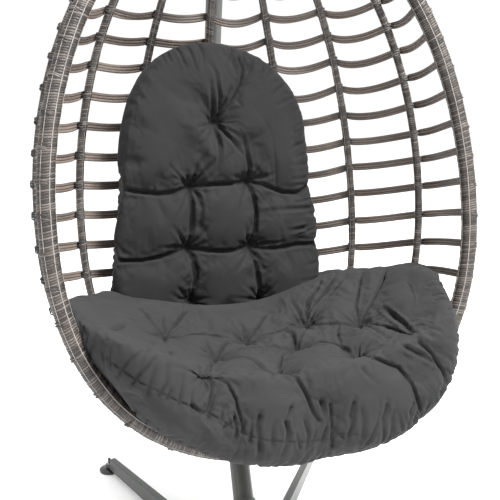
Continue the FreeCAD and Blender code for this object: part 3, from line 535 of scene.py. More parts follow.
for r_i, z in enumerate(ROWS):
    b = float(b_of(z))
    n_th = 320
    th_rim = math.acos(max(-1.0, min(1.0, RIM_Y / b)))
    while th_rim > 0.3:
        p = row_point(z, th_rim)
        if math.hypot(p[1] - RIM_Y, abs(p[0]) - float(rim_x(p[2]))) > RIM_R - 1.0:
            break
        th_rim -= 0.002
    th = np.linspace(-th_rim, th_rim, n_th)
    p = row_point(z, th)
    du = norm(np.gradient(p, axis=0))
    dv = norm(row_point(z + 0.5, th) - row_point(z - 0.5, th))
    nrm = norm(np.cross(dv, du))
    outward = np.stack([p[:, 0] / float(a_of(z)) ** 2, p[:, 1] / b ** 2, np.zeros(n_th)], -1)
    nrm = nrm * np.sign((nrm * outward).sum(1))[:, None]
    mm = norm(np.cross(nrm, du))
    mm = mm * np.sign(mm[:, 2])[:, None]
    stops = [-th_rim] + [float(rib_angle(nm, z)) if nm != "centre" else 0.0 for nm in order] + [th_rim]
    s = np.concatenate([[0], np.cumsum(np.linalg.norm(np.diff(p, axis=0), axis=1))])
    s_stop = np.interp(stops, th, s)
    sag = np.zeros(n_th)
    roll = np.zeros(n_th)
    slack = np.zeros(n_th)
    for k in range(len(stops) - 1):
        m = (s >= s_stop[k]) & (s <= s_stop[k + 1])
        u = (s[m] - s_stop[k]) / (s_stop[k + 1] - s_stop[k])
        wide = (s_stop[k + 1] - s_stop[k]) / 130.0
        amp = SAG[r_i] * BAY[k] * min(1.5, wide) * (0.82 + 0.36 * rng.rand()) + MORE.get(r_i, (0,) * 8)[k]
        sag[m] = amp * np.sin(math.pi * u ** LOW[k]) ** 0.9 + (rng.rand() - 0.5) * 2.0 * u * np.sin(math.pi * u)
        roll[m] = (rng.rand() - 0.5) * 0.7 * np.sin(math.pi * u) + (rng.rand() - 0.5) * 0.3 * np.sin(2 * math.pi * u)
        slack[m] = (1.5 + 3.0 * rng.rand()) * np.sin(math.pi * u) ** 2
    # the band bears on the rib at each crossing and bows slightly inwards between ribs
    near = np.min(np.abs(s[:, None] - np.array(s_stop[1:-1])[None]), axis=1)
    off = RIB_R + 2.4 - 3.2 * (1 - np.exp(-(near / 26.0) ** 2)) - slack
    off = off * (1 - 0.85 * np.clip((-np.degrees(th) - 58.0) / 10.0, 0, 1))
    c = p + nrm * off[:, None] - mm * sag[:, None]
    # between the outermost rib and the rim the band is drawn nearly straight, and climbs at the right
    for k in (0, 7):
        m = np.nonzero((s >= s_stop[k]) & (s <= s_stop[k + 1]))[0]
        if len(m) < 3:
            continue
        u = ((s[m] - s[m[0]]) / (s[m[-1]] - s[m[0]]))[:, None]
        if k == 0:
            u = 1 - u
        a_end, b_end = (c[m[-1]], c[m[0]]) if k == 0 else (c[m[0]], c[m[-1]])
        rim_end = np.array([np.sign(b_end[0]) * (float(rim_x(b_end[2])) - 1.0), RIM_Y + 8.0, b_end[2]])
        chord = a_end + (rim_end - a_end) * u
        q = np.clip(u / 0.10, 0, 1) if k == 0 else 0.85 * np.sin(math.pi * u / 2)
        c[m, :2] = c[m, :2] * (1 - q) + chord[:, :2] * q
        if k == 7:
            c[m, 2] += CLIMB[r_i] * u[:, 0] ** 1.2
    # both ends run into the rim's winding
    endn = np.minimum(s - s[0], s[-1] - s)
    for e, sx in ((0, -1.0), (-1, 1.0)):
        hub = np.array([sx * float(rim_x(c[e, 2])), RIM_Y, c[e, 2]])
        t = np.clip(1 - np.abs(s - s[e]) / 60.0, 0, 1) ** 1.6
        inner = c[e] + norm(hub - c[e]) * 0.55 * np.linalg.norm(hub - c[e])
        c = c + t[:, None] * (inner - c[e])
    # narrower where it is pulled tight by a knot
    pinch = (1.0 - 0.20 * np.exp(-(near / 9.0) ** 2)) * (1.0 - 0.14 * np.exp(-(endn / 14.0) ** 2)) * (1 - 0.10 * th / th_rim)
    cr, sr = np.cos(roll), np.sin(roll)
    m2 = mm * cr[:, None] + nrm * sr[:, None]
    n2 = -mm * sr[:, None] + nrm * cr[:, None]
    P = np.stack([c + m2 * (w * pinch)[:, None] + n2 * h for w, h in section], 1)
    B = Build()
    # random tone along each band, darker where it meets a rib and near its ends; painted shade: darker towards the
    # right-hand wall, whose inside faces away from the key light
    band_tone_and_painted_shade = 0.44 + 0.05 * smooth_noise(n_th, 30, 900 + r_i)
    band_tone_and_painted_shade = band_tone_and_painted_shade - 0.34 * np.exp(-(near / 9.0) ** 2) - 0.25 * np.exp(-(endn / 10.0) ** 2) - 0.06 * th / th_rim
    streak = [smooth_noise(n_th, 22, 2000 + 31 * r_i + q) * 0.07 for q in range(3)]
    # painted shade: across each band the tone is darker towards its edges and in the grooves between its three strands,
    # lighter on their crests
    tone = []
    for w, h in section:
        x = abs(w) / HALF
        q = min(2, int((w + HALF) / (2 * HALF) * 3))
        lobe = max(0.0, (abs(h) - 0.55) / 1.65)
        tone.append(band_tone_and_painted_shade + 0.30 * lobe ** 2 - 0.16 - 0.26 * x ** 4 + streak[q])
    B.sweep(world(P), False, np.stack(tone, 1), 0)
    o = B.object("band_%02d" % (r_i + 1), [band_mat])
    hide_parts("weave_row_%02d" % (r_i + 1))
    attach(o, "basket")

# ---------------------------------------------------------------- cushions
# tufts, sewn and pulled creases and the seam, mm on the cushion's surface in the basket's own frame: (depth, half width, line)
BACK_TUFTS = [(-32, 156, 127), (-92, 174, -12), (39, 173, -11), (-103, 191, -153), (39, 192, -162), (-100, 206, -277), (60, 208, -292)]
SEAT_TUFTS = [(-205, 52, -308), (-29, 61, -337), (-122, -8, -356), (-205, -190, -352), (118, 74, -319), (210, 0, -330), (58, -5, -364), (135, -126, -371), (-42, -134, -383)]
BACK_CREASES = [
    (20, 9, [(-92, 174, -12), (-131, 175, -21), (-168, 175, -23), (-190, 174, -19), (-212, 174, -16), (-235, 173, -11), (-256, 178, -6)]),
    (22, 9, [(-92, 174, -12), (-70, 173, -11), (-47, 173, -10), (-5, 173, -11), (39, 173, -11)]),
    (18, 9, [(39, 173, -11), (61, 174, -16), (83, 175, -22), (107, 176, -31), (131, 177, -40), (163, 177, -44), (193, 176, -31)]),
    (20, 9, [(-92, 174, -12), (-92, 178, -52), (-94, 182, -82), (-96, 186, -113), (-99, 188, -133), (-103, 191, -153)]),
    (22, 9, [(39, 173, -11), (51, 178, -51), (54, 182, -84), (49, 187, -125), (39, 192, -162)]),
    (20, 9, [(-103, 191, -153), (-127, 191, -157), (-150, 192, -160), (-175, 192, -164), (-199, 192, -167), (-224, 192, -165), (-248, 192, -164)]),
    (20, 9, [(-103, 191, -153), (-70, 191, -158), (-31, 192, -164), (8, 192, -165), (39, 192, -162)]),
    (18, 9, [(39, 192, -162), (70, 193, -169), (106, 193, -170), (129, 193, -168), (152, 192, -166), (184, 192, -167)]),
    (20, 9, [(-103, 191, -153), (-94, 194, -182), (-91, 199, -224), (-96, 203, -251), (-100, 206, -277)]),
    (20, 9, [(39, 192, -162), (49, 197, -201), (52, 200, -224), (55, 202, -248), (58, 205, -270), (60, 208, -292)]),
    (9, 5, [(-32, 156, 127), (-18, 154, 144), (-4, 152, 161), (16, 149, 189), (34, 145, 218), (42, 141, 249), (32, 139, 273)]),
    (8, 5, [(-32, 156, 127), (-39, 152, 162), (-44, 148, 193), (-47, 145, 224)]),
    (7, 5, [(-32, 156, 127), (-21, 154, 150), (-12, 151, 169), (-3, 149, 188), (9, 145, 218)]),
    (6, 5, [(-23, 155, 138), (-23, 152, 163), (-24, 149, 188), (-29, 146, 214), (-34, 143, 239), (-54, 139, 266)]),
    (7, 5, [(-32, 156, 127), (-30, 159, 105), (-28, 162, 83), (-31, 167, 44), (-38, 171, 12)]),
    (7, 5, [(-32, 156, 127), (-17, 159, 108), (-2, 161, 90), (16, 164, 67), (34, 167, 44)]),
    (5, 5, [(-32, 156, 127), (-12, 158, 114), (7, 160, 101), (24, 162, 85)]),
    (8, 5, [(39, 173, -11), (42, 169, 23), (39, 167, 44), (36, 164, 64), (27, 160, 96)]),
    (7, 5, [(-92, 174, -12), (-77, 171, 5), (-63, 169, 22), (-49, 167, 37), (-35, 166, 52)]),
    (6, 5, [(-92, 174, -12), (-85, 171, 9), (-79, 168, 31), (-66, 166, 50), (-53, 164, 69)]),
    (6, 5, [(-92, 174, -12), (-78, 176, -33), (-72, 180, -62), (-76, 183, -90), (-79, 186, -118)]),
    (6, 5, [(-95, 192, -166), (-91, 195, -187), (-86, 198, -208), (-90, 200, -228), (-94, 203, -249), (-97, 205, -269)]),
    (6, 5, [(171, 187, -125), (148, 188, -127), (125, 188, -129)]),
    (4, 5, [(195, 182, -82), (165, 182, -81), (135, 182, -80), (104, 182, -79), (72, 182, -79)]),
    (5, 5, [(39, 173, -11), (74, 172, 1), (110, 172, 3)]),
    (5, 5, [(-92, 174, -12), (-122, 171, 9), (-146, 170, 15)]),
    (5, 5, [(-103, 191, -153), (-136, 189, -141), (-178, 189, -138)]),
    (4, 5, [(-32, 156, 127), (-59, 157, 120), (-84, 158, 117)]),
    (4, 5, [(-32, 156, 127), (0, 156, 133), (25, 155, 136)]),
]
SEAT_CREASES = [
    (10, 7, [(-205, 52, -308), (-175, 104, -285), (-157, 128, -271), (-139, 149, -257)]),
    (12, 8, [(-205, 52, -308), (-166, 63, -314), (-140, 72, -316), (-114, 80, -316), (-92, 76, -322), (-70, 72, -328), (-49, 67, -333), (-29, 61, -337)]),
    (13, 8, [(-29, 61, -337), (-1, 66, -336), (26, 68, -334), (54, 73, -329), (80, 76, -324), (118, 74, -319)]),
    (9, 6, [(-29, 61, -337), (-8, 83, -326), (13, 102, -313), (43, 133, -288)]),
    (12, 8, [(-29, 61, -337), (-53, 57, -338), (-77, 52, -338), (-99, 24, -348), (-122, -8, -356)]),
    (12, 8, [(-122, -8, -356), (-154, -66, -362), (-205, -190, -352)]),
    (11, 8, [(-122, -8, -356), (-96, 2, -357), (-70, 11, -357), (-44, 17, -357), (-15, 16, -359), (13, 11, -361), (36, 4, -362), (58, -5, -364)]),
    (8, 6, [(58, -5, -364), (67, 47, -342), (61, 75, -327)]),
    (13, 8, [(58, -5, -364), (82, -9, -362), (106, -14, -360), (120, -30, -363), (133, -48, -364), (136, -83, -369), (135, -126, -371)]),
    (13, 8, [(118, 74, -319), (140, 41, -332), (161, 30, -332), (181, 19, -331), (210, 0, -330)]),
    (8, 5, [(118, 74, -319), (119, 108, -297), (117, 135, -275), (115, 160, -253)]),
    (8, 5, [(118, 74, -319), (135, 103, -296), (150, 129, -272), (171, 141, -255), (192, 152, -238), (244, 230, -228)]),
    (9, 5, [(118, 74, -319), (149, 109, -288), (172, 120, -274), (194, 129, -259), (215, 136, -243), (240, 149, -228)]),
    (8, 5, [(118, 74, -319), (140, 88, -306), (161, 100, -292), (187, 108, -278), (212, 114, -264), (236, 119, -249), (260, 123, -234)]),
    (11, 6, [(210, 0, -330), (229, 45, -302), (251, 72, -278), (272, 95, -252), (314, 132, -228)]),
    (13, 7, [(210, 0, -330), (235, 15, -314), (260, 28, -298), (281, 41, -281), (302, 52, -263), (321, 63, -245), (348, 86, -228)]),
    (12, 7, [(210, 0, -330), (226, -30, -333), (239, -64, -336), (242, -107, -339), (238, -162, -338), (241, -190, -353), (261, -190, -375), (275, -190, -401), (291, -186, -428)]),
    (8, 6, [(268, -15, -311), (268, -53, -321), (265, -97, -329), (249, -150, -335), (241, -190, -343), (256, -190, -361)]),
    (9, 6, [(135, -126, -371), (129, -79, -370), (152, -10, -350), (174, 19, -334)]),
    (13, 7, [(135, -126, -371), (134, -167, -368), (142, -190, -370), (165, -190, -382), (188, -190, -394), (203, -190, -426), (211, -190, -453), (219, -188, -481)]),
    (11, 7, [(-42, -134, -383), (-36, -166, -381), (-27, -190, -381), (-17, -190, -402), (-6, -190, -424), (3, -190, -456), (13, -190, -473)]),
    (11, 7, [(-42, -134, -383), (-10, -71, -382), (14, -29, -373), (48, -7, -365)]),
    (8, 6, [(-42, -134, -383), (-61, -98, -381), (-72, -75, -378), (-84, -56, -374), (-96, -38, -368), (-109, -22, -362), (-122, -8, -356)]),
    (10, 6, [(-205, -190, -352), (-195, -190, -378), (-201, -190, -395), (-207, -190, -413), (-219, -190, -430)]),
    (11, 6, [(-205, -190, -352), (-185, -190, -364), (-164, -190, -377), (-158, -190, -394), (-151, -190, -412), (-150, -190, -432), (-149, -190, -452), (-148, -190, -477)]),
    (8, 5, [(-161, -190, -440), (-161, -190, -459), (-161, -190, -479), (-174, -183, -509)]),
    (12, 5, [(40, -190, -447), (39, -190, -466), (38, -190, -484), (37, -190, -503), (38, -186, -529)]),
    (7, 5, [(24, -190, -434), (25, -190, -455), (27, -190, -476)]),
    (7, 5, [(-251, -190, -405), (-238, -190, -427), (-217, -190, -440)]),
    (9, 8, [(-205, 52, -308), (-225, 68, -291), (-233, 84, -277), (-241, 99, -263), (-250, 112, -249)]),
    (6, 6, [(-313, -6, -285), (-353, -79, -280), (-385, -117, -282)]),
    (6, 6, [(-267, -37, -318), (-312, -190, -302), (-322, -190, -316), (-329, -186, -334), (-336, -178, -354)]),
    (5, 5, [(-246, -80, -335), (-280, -190, -330), (-286, -190, -348), (-291, -190, -364), (-296, -190, -379)]),
    (5, 5, [(-205, 52, -308), (-242, 29, -305), (-269, 24, -295)]),
    (5, 5, [(-205, 52, -308), (-223, 15, -319), (-243, -33, -327), (-233, -88, -341)]),
    (7, 5, [(-60, -190, -456), (-56, -190, -487), (-66, -190, -516)]),
    (6, 5, [(-42, -190, -434), (-60, -190, -461)]),
    (6, 5, [(-106, -190, -439), (-113, -190, -455), (-119, -190, -472), (-116, -190, -497)]),
    (6, 5, [(86, -190, -438), (72, -190, -468), (76, -190, -499)]),
    (5, 5, [(143, -190, -447), (129, -190, -477), (131, -190, -496), (135, -186, -515)]),
    (5, 5, [(-17, -190, -463), (-13, -190, -495), (-17, -190, -512), (-20, -186, -531)]),
    (6, 5, [(208, -190, -457), (188, -190, -476), (189, -175, -511)]),
    (5, 5, [(210, 0, -330), (213, -29, -338), (214, -62, -344), (211, -100, -350), (203, -147, -352)]),
    (5, 5, [(135, -126, -371), (112, -190, -389), (125, -190, -406), (139, -190, -423)]),
    (5, 5, [(58, -5, -364), (18, -47, -377), (-5, -73, -382)]),
    (5, 5, [(-29, 61, -337), (-23, 99, -314), (-36, 127, -293)]),
    (6, 5, [(202, -190, -351), (225, -190, -367), (248, -190, -384), (269, -190, -399), (289, -190, -415)]),
]
SEAM = [(-397, -94, -274), (-386, -111, -287), (-375, -130, -300), (-365, -151, -311), (-354, -166, -325), (-341, -176, -339), (-328, -184, -354), (-315, -190, -365), (-300, -190, -378), (-285, -190, -391), (-268, -190, -402), (-252, -190, -413), (-234, -190, -424), (-216, -190, -435), (-200, -190, -448), (-183, -190, -461), (-166, -190, -473), (-146, -190, -480), (-125, -190, -486), (-107, -190, -491), (-89, -190, -495), (-63, -190, -499), (-36, -190, -504), (-9, -190, -507), (19, -190, -510), (39, -190, -510), (53, -190, -500), (82, -190, -503), (110, -190, -506), (136, -190, -508), (167, -182, -512), (215, -183, -500), (285, -178, -465), (330, -170, -425), (362, -158, -380)]

# how far the covers' outline lies from the plain pads, mm: (place, shift)
SEAT_SHAPE = [((-340, -125, -414), (9, -3, 3)), ((-303, -145, -458), (20, -6, 12)), ((-236, -145, -506), (17, -5, 19)), ((-172, -157, -528), (6, -1, 13)), ((-118, -155, -544), (1, 0, 3)), ((-83, -157, -548), (0, 0, 0)), ((-20, -160, -552), (1, -1, -4)), ((40, -165, -548), (2, -1, -3)), ((132, -169, -533), (15, -7, -13)), ((198, -171, -511), (21, -9, -12)), ((260, -175, -473), (20, -8, -7)), ((301, -173, -439), (13, -5, -2)), ((333, -172, -383), (6, -2, 0)), ((350, -166, -345), (0, 0, 0)), ((362, -164, -274), (-13, 5, -4)), ((401, -106, -249), (-29, 10, -10)), ((426, -24, -228), (-28, 9, -12)), ((420, 65, -228), (-2, 1, -1)), ((404, 101, -228), (-2, 1, -1)), ((386, 145, -228), (-14, 4, -9)), ((331, 207, -228), (-18, 5, -16)), ((259, 270, -228), (-11, 3, -15)), ((-339, 206, -228), (-1, 0, 1)), ((-311, 229, -228), (1, -1, -2)), ((-282, 255, -228), (3, -2, -8)), ((-215, 190, -228), (0, 0, -17)), ((-165, 190, -228), (0, 0, -34)), ((-110, 190, -228), (0, 0, -48)), ((-55, 190, -228), (0, 0, -50)), ((0, 190, -228), (0, 0, -52)), ((55, 190, -228), (0, 0, -56)), ((105, 190, -228), (0, 0, -50)), ((155, 190, -228), (0, 0, -24)), ((205, 190, -228), (0, 0, -4)), ((-120, 118, -290), (0, 0, -10)), ((-20, 118, -295), (0, 0, -12)), ((80, 118, -292), (0, 0, -12))]
BACK_SHAPE = [((-65, 136, 293), (0, -1, -5)), ((-117, 138, 279), (0, 0, -1)), ((-149, 162, 262), (1, 0, -1)), ((-172, 241, 247), (2, -1, -2)), ((-214, 232, 205), (9, -4, -5)), ((-239, 236, 161), (20, -8, -5)), ((-255, 246, 100), (23, -9, -2)), ((-256, 253, 60), (15, -6, -1)), ((-256, 261, -7), (17, -6, -1)), ((-256, 269, -61), (11, -4, -1)), ((-256, 271, -121), (6, -2, 0)), ((-256, 269, -183), (-14, 5, 1)), ((-256, 266, -232), (-16, 6, 1)), ((8, 136, 293), (-6, 1, -19)), ((77, 139, 271), (-9, 2, -12)), ((125, 143, 240), (-15, 4, -12)), ((153, 146, 210), (-10, 3, -5)), ((184, 153, 157), (-14, 5, -3)), ((198, 159, 105), (-15, 6, 1)), ((199, 166, 47), (-16, 6, 1)), ((200, 173, -11), (-18, 7, 1)), ((200, 179, -54), (-11, 4, 1)), ((200, 186, -116), (-1, 0, 0)), ((200, 193, -171), (3, -1, 0)), ((199, 199, -219), (7, -3, 0)), ((200, 205, -268), (-5, 2, 0))]


def spread(L, table, reach):
    """smooth shift of points from a table of places and shifts, mm"""
    P = np.array([t[0] for t in table], float)
    D = np.array([t[1] for t in table], float)
    w = np.exp(-((L[:, None] - P[None]) ** 2).sum(-1) / reach ** 2)
    return (w @ D) / np.maximum(w.sum(1, keepdims=True), 1.0)


def along_line(L, pts, flat=None, reach=60.0):
    """distance of points from a broken line and the share of its length, for the points near it"""
    pts = np.array(pts, float)
    lo, hi = pts.min(0) - reach, pts.max(0) + reach
    ids = np.nonzero(((L > lo) & (L < hi)).all(1))[0]
    Q = L[ids]
    if flat is not None:
        Q = Q - ((Q - pts[0]) @ flat)[:, None] * flat
        pts = pts - ((pts - pts[0]) @ flat)[:, None] * flat
    best = np.full(len(ids), 1e9)
    share = np.zeros(len(ids))
    seg = np.linalg.norm(np.diff(pts, axis=0), axis=1)
    total = max(seg.sum(), 1e-6)
    s0 = 0.0
    for a, b, l in zip(pts[:-1], pts[1:], seg):
        ab = b - a
        u = np.clip(((Q - a) @ ab) / max(ab @ ab, 1e-6), 0, 1)
        d = np.linalg.norm(Q - a - u[:, None] * ab, axis=1)
        m = d < best
        best[m] = d[m]
        share[m] = (s0 + u[m] * l) / total
        s0 += l
    return ids, best, share


def unit(v):
    v = np.asarray(v, float)
    return v / max(np.linalg.norm(v), 1e-9)


def gathers(kind, where, L, N, seed, count=0, gap=(14, 26), length=(30, 75), depth=(2.0, 4.5), aim=None):
    """short pulled creases round a tuft, or across a seam or an edge"""
    r = np.random.RandomState(seed)
    out = []

    def normal_at(p):
        i = np.argsort(((L - p) ** 2).sum(1))[:40]
        return unit(N[i].mean(0))

    if kind == "tuft":
        for c in where:
            c = np.array(c, float)
            n = normal_at(c)
            e1 = unit(np.cross(n, (0.3, 1.0, 0.2)))
            e2 = np.cross(n, e1)
            a0 = r.rand() * 6.3
            for k in range(count):
                a = a0 + 2 * math.pi * (k + 0.7 * r.rand()) / count
                d = math.cos(a) * e1 + math.sin(a) * e2
                side = np.cross(n, d) * (r.rand() - 0.5)
                l = length[0] + (length[1] - length[0]) * r.rand() ** 1.4
                out.append((depth[0] + (depth[1] - depth[0]) * r.rand(), 3.6 + 1.6 * r.rand(), [c + d * 5, c + d * l * 0.5 + side * 9, c + d * l], n))
        return out
    pts = np.array(where, float)
    seg = np.linalg.norm(np.diff(pts, axis=0), axis=1)
    cum = np.concatenate([[0], np.cumsum(seg)])
    s = 6.0
    while s < cum[-1]:
        c = np.array([np.interp(s, cum, pts[:, k]) for k in range(3)])
        j = min(np.searchsorted(cum, s), len(pts) - 1)
        t = unit(pts[j] - pts[j - 1])
        n = normal_at(c)
        d = unit(np.cross(n, t))
        if aim is not None and np.dot(d, np.array(aim, float) - c) < 0:
            d = -d
        d = unit(d + t * (r.rand() - 0.5) * 0.7)
        l = length[0] + (length[1] - length[0]) * r.rand() ** 1.6
        back = (0.25 + 0.75 * r.rand()) * l * 0.6 if kind == "seam" else 14.0
        side = t * (r.rand() - 0.5) * 10
        out.append((depth[0] + (depth[1] - depth[0]) * r.rand(), 3.4 + 2.4 * r.rand(), [c - d * back, c + d * l * 0.45 + side, c + d * l], n))
        s += gap[0] + (gap[1] - gap[0]) * r.rand()
    return out


def coords(me):
    q = np.empty(len(me.vertices) * 3)
    me.vertices.foreach_get("co", q)
    return q.reshape(-1, 3)


def normals(me):
    q = np.empty(len(me.vertices) * 3)
    me.vertex_normals.foreach_get("vector", q)
    return q.reshape(-1, 3)


def taken(o):
    dg = bpy.context.evaluated_depsgraph_get()
    return bpy.data.meshes.new_from_object(o.evaluated_get(dg))


def cushion(node_name, name, tufts, creases, shape, reach, pit, puff, cap, extra, seed, cloth, grow=0.0, wider=0.0, taller=0.0):
    o = bpy.data.objects.new(name, NODES[node_name].data.copy())
    bpy.context.scene.collection.objects.link(o)
    o.data.materials.clear()
    rm = o.modifiers.new("remesh", "REMESH")
    rm.mode = "VOXEL"
    rm.voxel_size = 0.0052
    sm = o.modifiers.new("smooth", "SMOOTH")
    sm.factor = 0.6
    sm.iterations = 22
    me = taken(o)
    o.modifiers.clear()
    o.data = me
    me.name = name
    n = len(me.vertices)
    W0 = coords(me)
    N0 = normals(me)
    L0 = local(W0)
    NL = local(W0 + N0 * 0.001) - L0
    NL = NL / np.linalg.norm(NL, axis=1, keepdims=True)
    L1 = L0 + spread(L0, shape, reach) + NL * grow
    L1[:, 0] += wider * np.interp(L0[:, 2], [-250, -60, 40, 130, 220], [11.0, 12.5, 9.0, 3.0, 0.0]) * np.clip((L0[:, 0] + 28.0) / 190.0, -1.1, 1.1)
    L1[:, 2] += taller * np.clip((L0[:, 2] - 120.0) / 170.0, 0, 1.1)

    # broad valleys and pits before the cover is blown up
    down = np.zeros(n)
    near = np.full(n, 200.0)
    pin = np.zeros(n)
    for t in tufts:
        r = np.linalg.norm(L0 - np.array(t, float), axis=1)
        down = np.maximum(down, pit * np.exp(-(r / 26.0) ** 1.3))
        near = np.minimum(near, r)
        pin = np.maximum(pin, np.where(r < 9.0, 1.0, 0.0))
    for dep, wid, line in creases:
        if dep < 9:
            continue
        ids, d, u = along_line(L0, line, None, 120.0)
        down[ids] = np.maximum(down[ids], 0.42 * dep * np.exp(-(d / 12.0) ** 1.1))
        near[ids] = np.minimum(near[ids], d)
        pin[ids] = np.maximum(pin[ids], np.where(d < 4.0, 0.5, 0.0))
    face = np.zeros(n)
    for t in tufts:
        face = np.maximum(face, np.exp(-(np.linalg.norm(L0 - np.array(t, float), axis=1) / 120.0) ** 2))
    down = down - puff * (1 - np.exp(-(near / 42.0) ** 2)) * face
    L1 = L1 - NL * down[:, None]
    W1 = world(L1)
    me.vertices.foreach_set("co", W1.reshape(-1))
    me.update()
    vg = o.vertex_groups.new(name="pin")
    for val in (1.0, 0.5):
        ids = np.nonzero(np.abs(pin - val) < 1e-6)[0].tolist()
        if ids:
            vg.add(ids, val, "REPLACE")
    sc = bpy.context.scene
    cl = o.modifiers.new("cloth", "CLOTH")
    st = cl.settings
    st.quality = 4
    st.mass = 0.2
    st.tension_stiffness = 45.0
    st.compression_stiffness = 30.0
    st.shear_stiffness = 12.0
    st.bending_stiffness = 0.25
    st.tension_damping = 10.0
    st.compression_damping = 10.0
    st.shear_damping = 8.0
    st.air_damping = 4.0
    st.use_pressure = True
    st.uniform_pressure_force = 3.0
    st.shrink_min = -0.05
    st.vertex_group_mass = "pin"
    st.pin_stiffness = 3.0
    st.effector_weights.gravity = 0.0
    cl.collision_settings.use_collision = False
    cl.collision_settings.use_self_collision = False
    cl.point_cache.frame_start = 1
    cl.point_cache.frame_end = 16
    for f in range(1, 17):
        sc.frame_set(f)
    blown = taken(o)
    q = coords(blown)
    sc.frame_set(1)
    o.modifiers.clear()
    dlt = q - W1
    dist = np.linalg.norm(dlt, axis=1)
    print(name, "cloth moved: mean %.4f max %.4f" % (dist.mean(), dist.max()), "points", n)
    q = W1 + dlt * (cap * np.tanh(dist / cap) / np.maximum(dist, 1e-9))[:, None]
    bpy.data.meshes.remove(blown)

    # one subdivision; the same for the unmoved places, which the creases are measured on
    o.vertex_groups.clear()
    o.modifiers.new("sub", "SUBSURF").levels = 1
    me.vertices.foreach_set("co", world(L0).reshape(-1))
    me.update()
    ref = taken(o)
    L = local(coords(ref))
    N = local(coords(ref) + normals(ref) * 0.001) - L
    N = N / np.linalg.norm(N, axis=1, keepdims=True)
    bpy.data.meshes.remove(ref)
    me.vertices.foreach_set("co", q.reshape(-1))
    me.update()
    fine = taken(o)
    o.modifiers.clear()
    o.data = fine
    bpy.data.meshes.remove(me)
    fine.name = name
    C = coords(fine)
    NF = normals(fine)
    cut = np.zeros(len(C))
    rise = np.zeros(len(C))
    # painted shade: how far the fabric's base colour is darkened, along the creases and round the tufts
    painted_fold_shade = np.zeros(len(C))
    lines = [(d, w, l, None, d >= 9) for d, w, l in creases]
    lines += [(d, w, l, f, False) for d, w, l, f in gathers("tuft", tufts, L, N, seed, 11, (0, 0), (34, 88), (2.2, 5.0))]
    for kind, where, gap, length, depth, aim in extra:
        lines += [(d, w, l, f, False) for d, w, l, f in gathers(kind, where, L, N, seed + 5 + len(lines), 0, gap, length, depth, aim)]
    for dep, wid, line, flat, deep in lines:
        ids, d, u = along_line(L, line, flat, 24.0 if flat is None else 30.0)
        if flat is not None:
            ok = ((L[ids] - np.array(line[0])) @ flat > -35) & (N[ids] @ flat > 0.2)
            ids, d, u = ids[ok], d[ok], u[ok]
        # each crease cuts into the cover and gets painted shade along its bottom
        if deep:
            k = 0.36 + 0.0 * u
            wid = wid * 0.50
            painted_fold_shade[ids] = np.maximum(painted_fold_shade[ids], (0.52 + 0.016 * dep) * np.exp(-(d / 1.7) ** 2) + 0.04 * np.exp(-(d / 7.0) ** 1.3))
        else:
            k = np.clip(u / 0.12, 0.35, 1) * np.clip((1.0 - u) / 0.75, 0, 1) ** 0.8
            dep, wid = dep * 1.2, wid * 0.85
            painted_fold_shade[ids] = np.maximum(painted_fold_shade[ids], min(0.85, 0.10 * dep) * k * np.exp(-(d / 2.6) ** 2))
        cut[ids] = np.maximum(cut[ids], dep * k * np.exp(-(d / wid) ** 1.4))
        rise[ids] = np.maximum(rise[ids], (0.16 if deep else 0.28) * dep * k * np.exp(-((d - 2.1 * wid) / (0.9 * wid)) ** 2))
    # the tufts' pits: cut into the surface, with painted shade in and round them
    tri = np.array(tufts, float)
    for t in tri:
        r = np.linalg.norm(L - t, axis=1)
        cut = np.maximum(cut, 8.0 * np.exp(-(r / 6.5) ** 1.5))
        painted_fold_shade = np.maximum(painted_fold_shade, 0.75 * np.exp(-(r / 7.0) ** 1.6) + 0.25 * np.exp(-(r / 24.0) ** 1.2))
    C = C - NF * ((cut - rise * (cut < rise * 2.5)) / 1000.0)[:, None]
    fine.vertices.foreach_set("co", C.reshape(-1))
    fine.update()
    # the painted shade is stored as a point attribute for the fabric material
    at = fine.attributes.new("painted_fold_shade", "FLOAT", "POINT")
    at.data.foreach_set("value", np.clip(painted_fold_shade, 0, 1).astype(np.float32))
    fine.materials.append(cloth)
    fine.polygons.foreach_set("use_smooth", [True] * len(fine.polygons))
    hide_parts(node_name)
    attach(o, "basket")
    print(name, "points", len(C), "lines", len(lines))
    return o


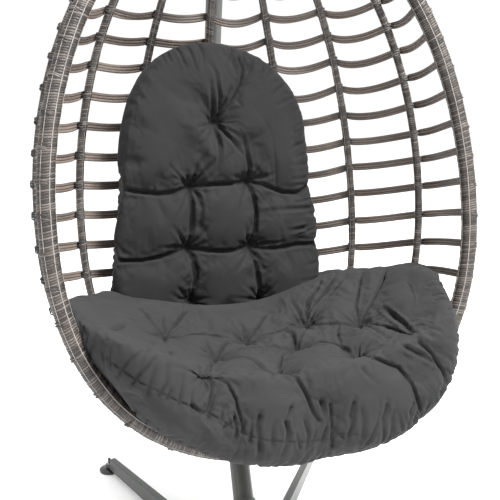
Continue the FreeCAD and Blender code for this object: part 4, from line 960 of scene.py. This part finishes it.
seat_outline = [t[0] for t in SEAT_SHAPE[:19]]
back_left = [t[0] for t in BACK_SHAPE[:13]]
back_right = [t[0] for t in BACK_SHAPE[13:]]
seat = cushion("seat_cushion", "seat_pad", SEAT_TUFTS, SEAT_CREASES + [(3.2, 2.6, SEAM)], SEAT_SHAPE, 80.0, 20.0, 9.0, 0.012,
               [("seam", SEAM, (14, 30), (28, 80), (2.2, 5.0), (0, -60, -300)), ("edge", seat_outline, (16, 34), (30, 80), (1.8, 4.0), (0, -60, -300))], 40, fabric_mat, 1.5)
back = cushion("back_cushion", "back_pad", BACK_TUFTS, BACK_CREASES, BACK_SHAPE, 85.0, 26.0, 8.0, 0.012,
               [("edge", back_left, (13, 26), (30, 85), (2.0, 4.6), (-30, 150, -60)), ("edge", back_right, (18, 40), (25, 70), (1.4, 3.4), (-30, 150, -60))], 80, back_fabric_painted_shade, 3.0, 1.0, 2.5)

# ---------------------------------------------------------------- floor, light, camera
floor_me = bpy.data.meshes.new("floor")
floor_me.from_pydata([(-14, -14, 0), (14, -14, 0), (14, 14, 0), (-14, 14, 0)], [], [(0, 1, 2, 3)])
floor = bpy.data.objects.new("floor", floor_me)
bpy.context.scene.collection.objects.link(floor)
fm, nt, bs = new_mat("pale_floor")
bs.inputs["Base Color"].default_value = (0.985, 0.985, 0.985, 1)
bs.inputs["Roughness"].default_value = 0.7
floor_me.materials.append(fm)

w = bpy.data.worlds.new("studio")
bpy.context.scene.world = w
w.use_nodes = True
bg = w.node_tree.nodes["Background"]
bg.inputs["Color"].default_value = (1.0, 1.0, 1.0, 1)
bg.inputs["Strength"].default_value = 1.03


def area(name, loc, target, size, power):
    ld = bpy.data.lights.new(name, "AREA")
    ld.shape = "RECTANGLE"
    ld.size, ld.size_y = size
    ld.energy = power
    lo = bpy.data.objects.new(name, ld)
    lo.location = loc
    lo.rotation_euler = (Vector(target) - Vector(loc)).to_track_quat("-Z", "Y").to_euler()
    bpy.context.scene.collection.objects.link(lo)
    return lo


area("key", (1.5, -1.5, 4.4), (0.0, -0.1, 0.9), (1.2, 1.2), 520.0)
area("fill", (-2.4, -2.4, 1.8), (0.0, 0.0, 1.0), (1.8, 1.8), 10.0)
area("top", (0.2, 0.3, 4.2), (0.0, 0.0, 0.9), (2.4, 2.4), 60.0)

cam_d = bpy.data.cameras.new("camera")
cam_d.lens = 61.49
cam_d.sensor_width = 36.0
cam = bpy.data.objects.new("camera", cam_d)
cam.location = (-0.2986, -1.8051, 1.3355)
cam.rotation_euler = (math.radians(75.0), 0.0, math.radians(-9.68))
bpy.context.scene.collection.objects.link(cam)
bpy.context.scene.camera = cam
bpy.context.scene.view_settings.view_transform = "Standard"
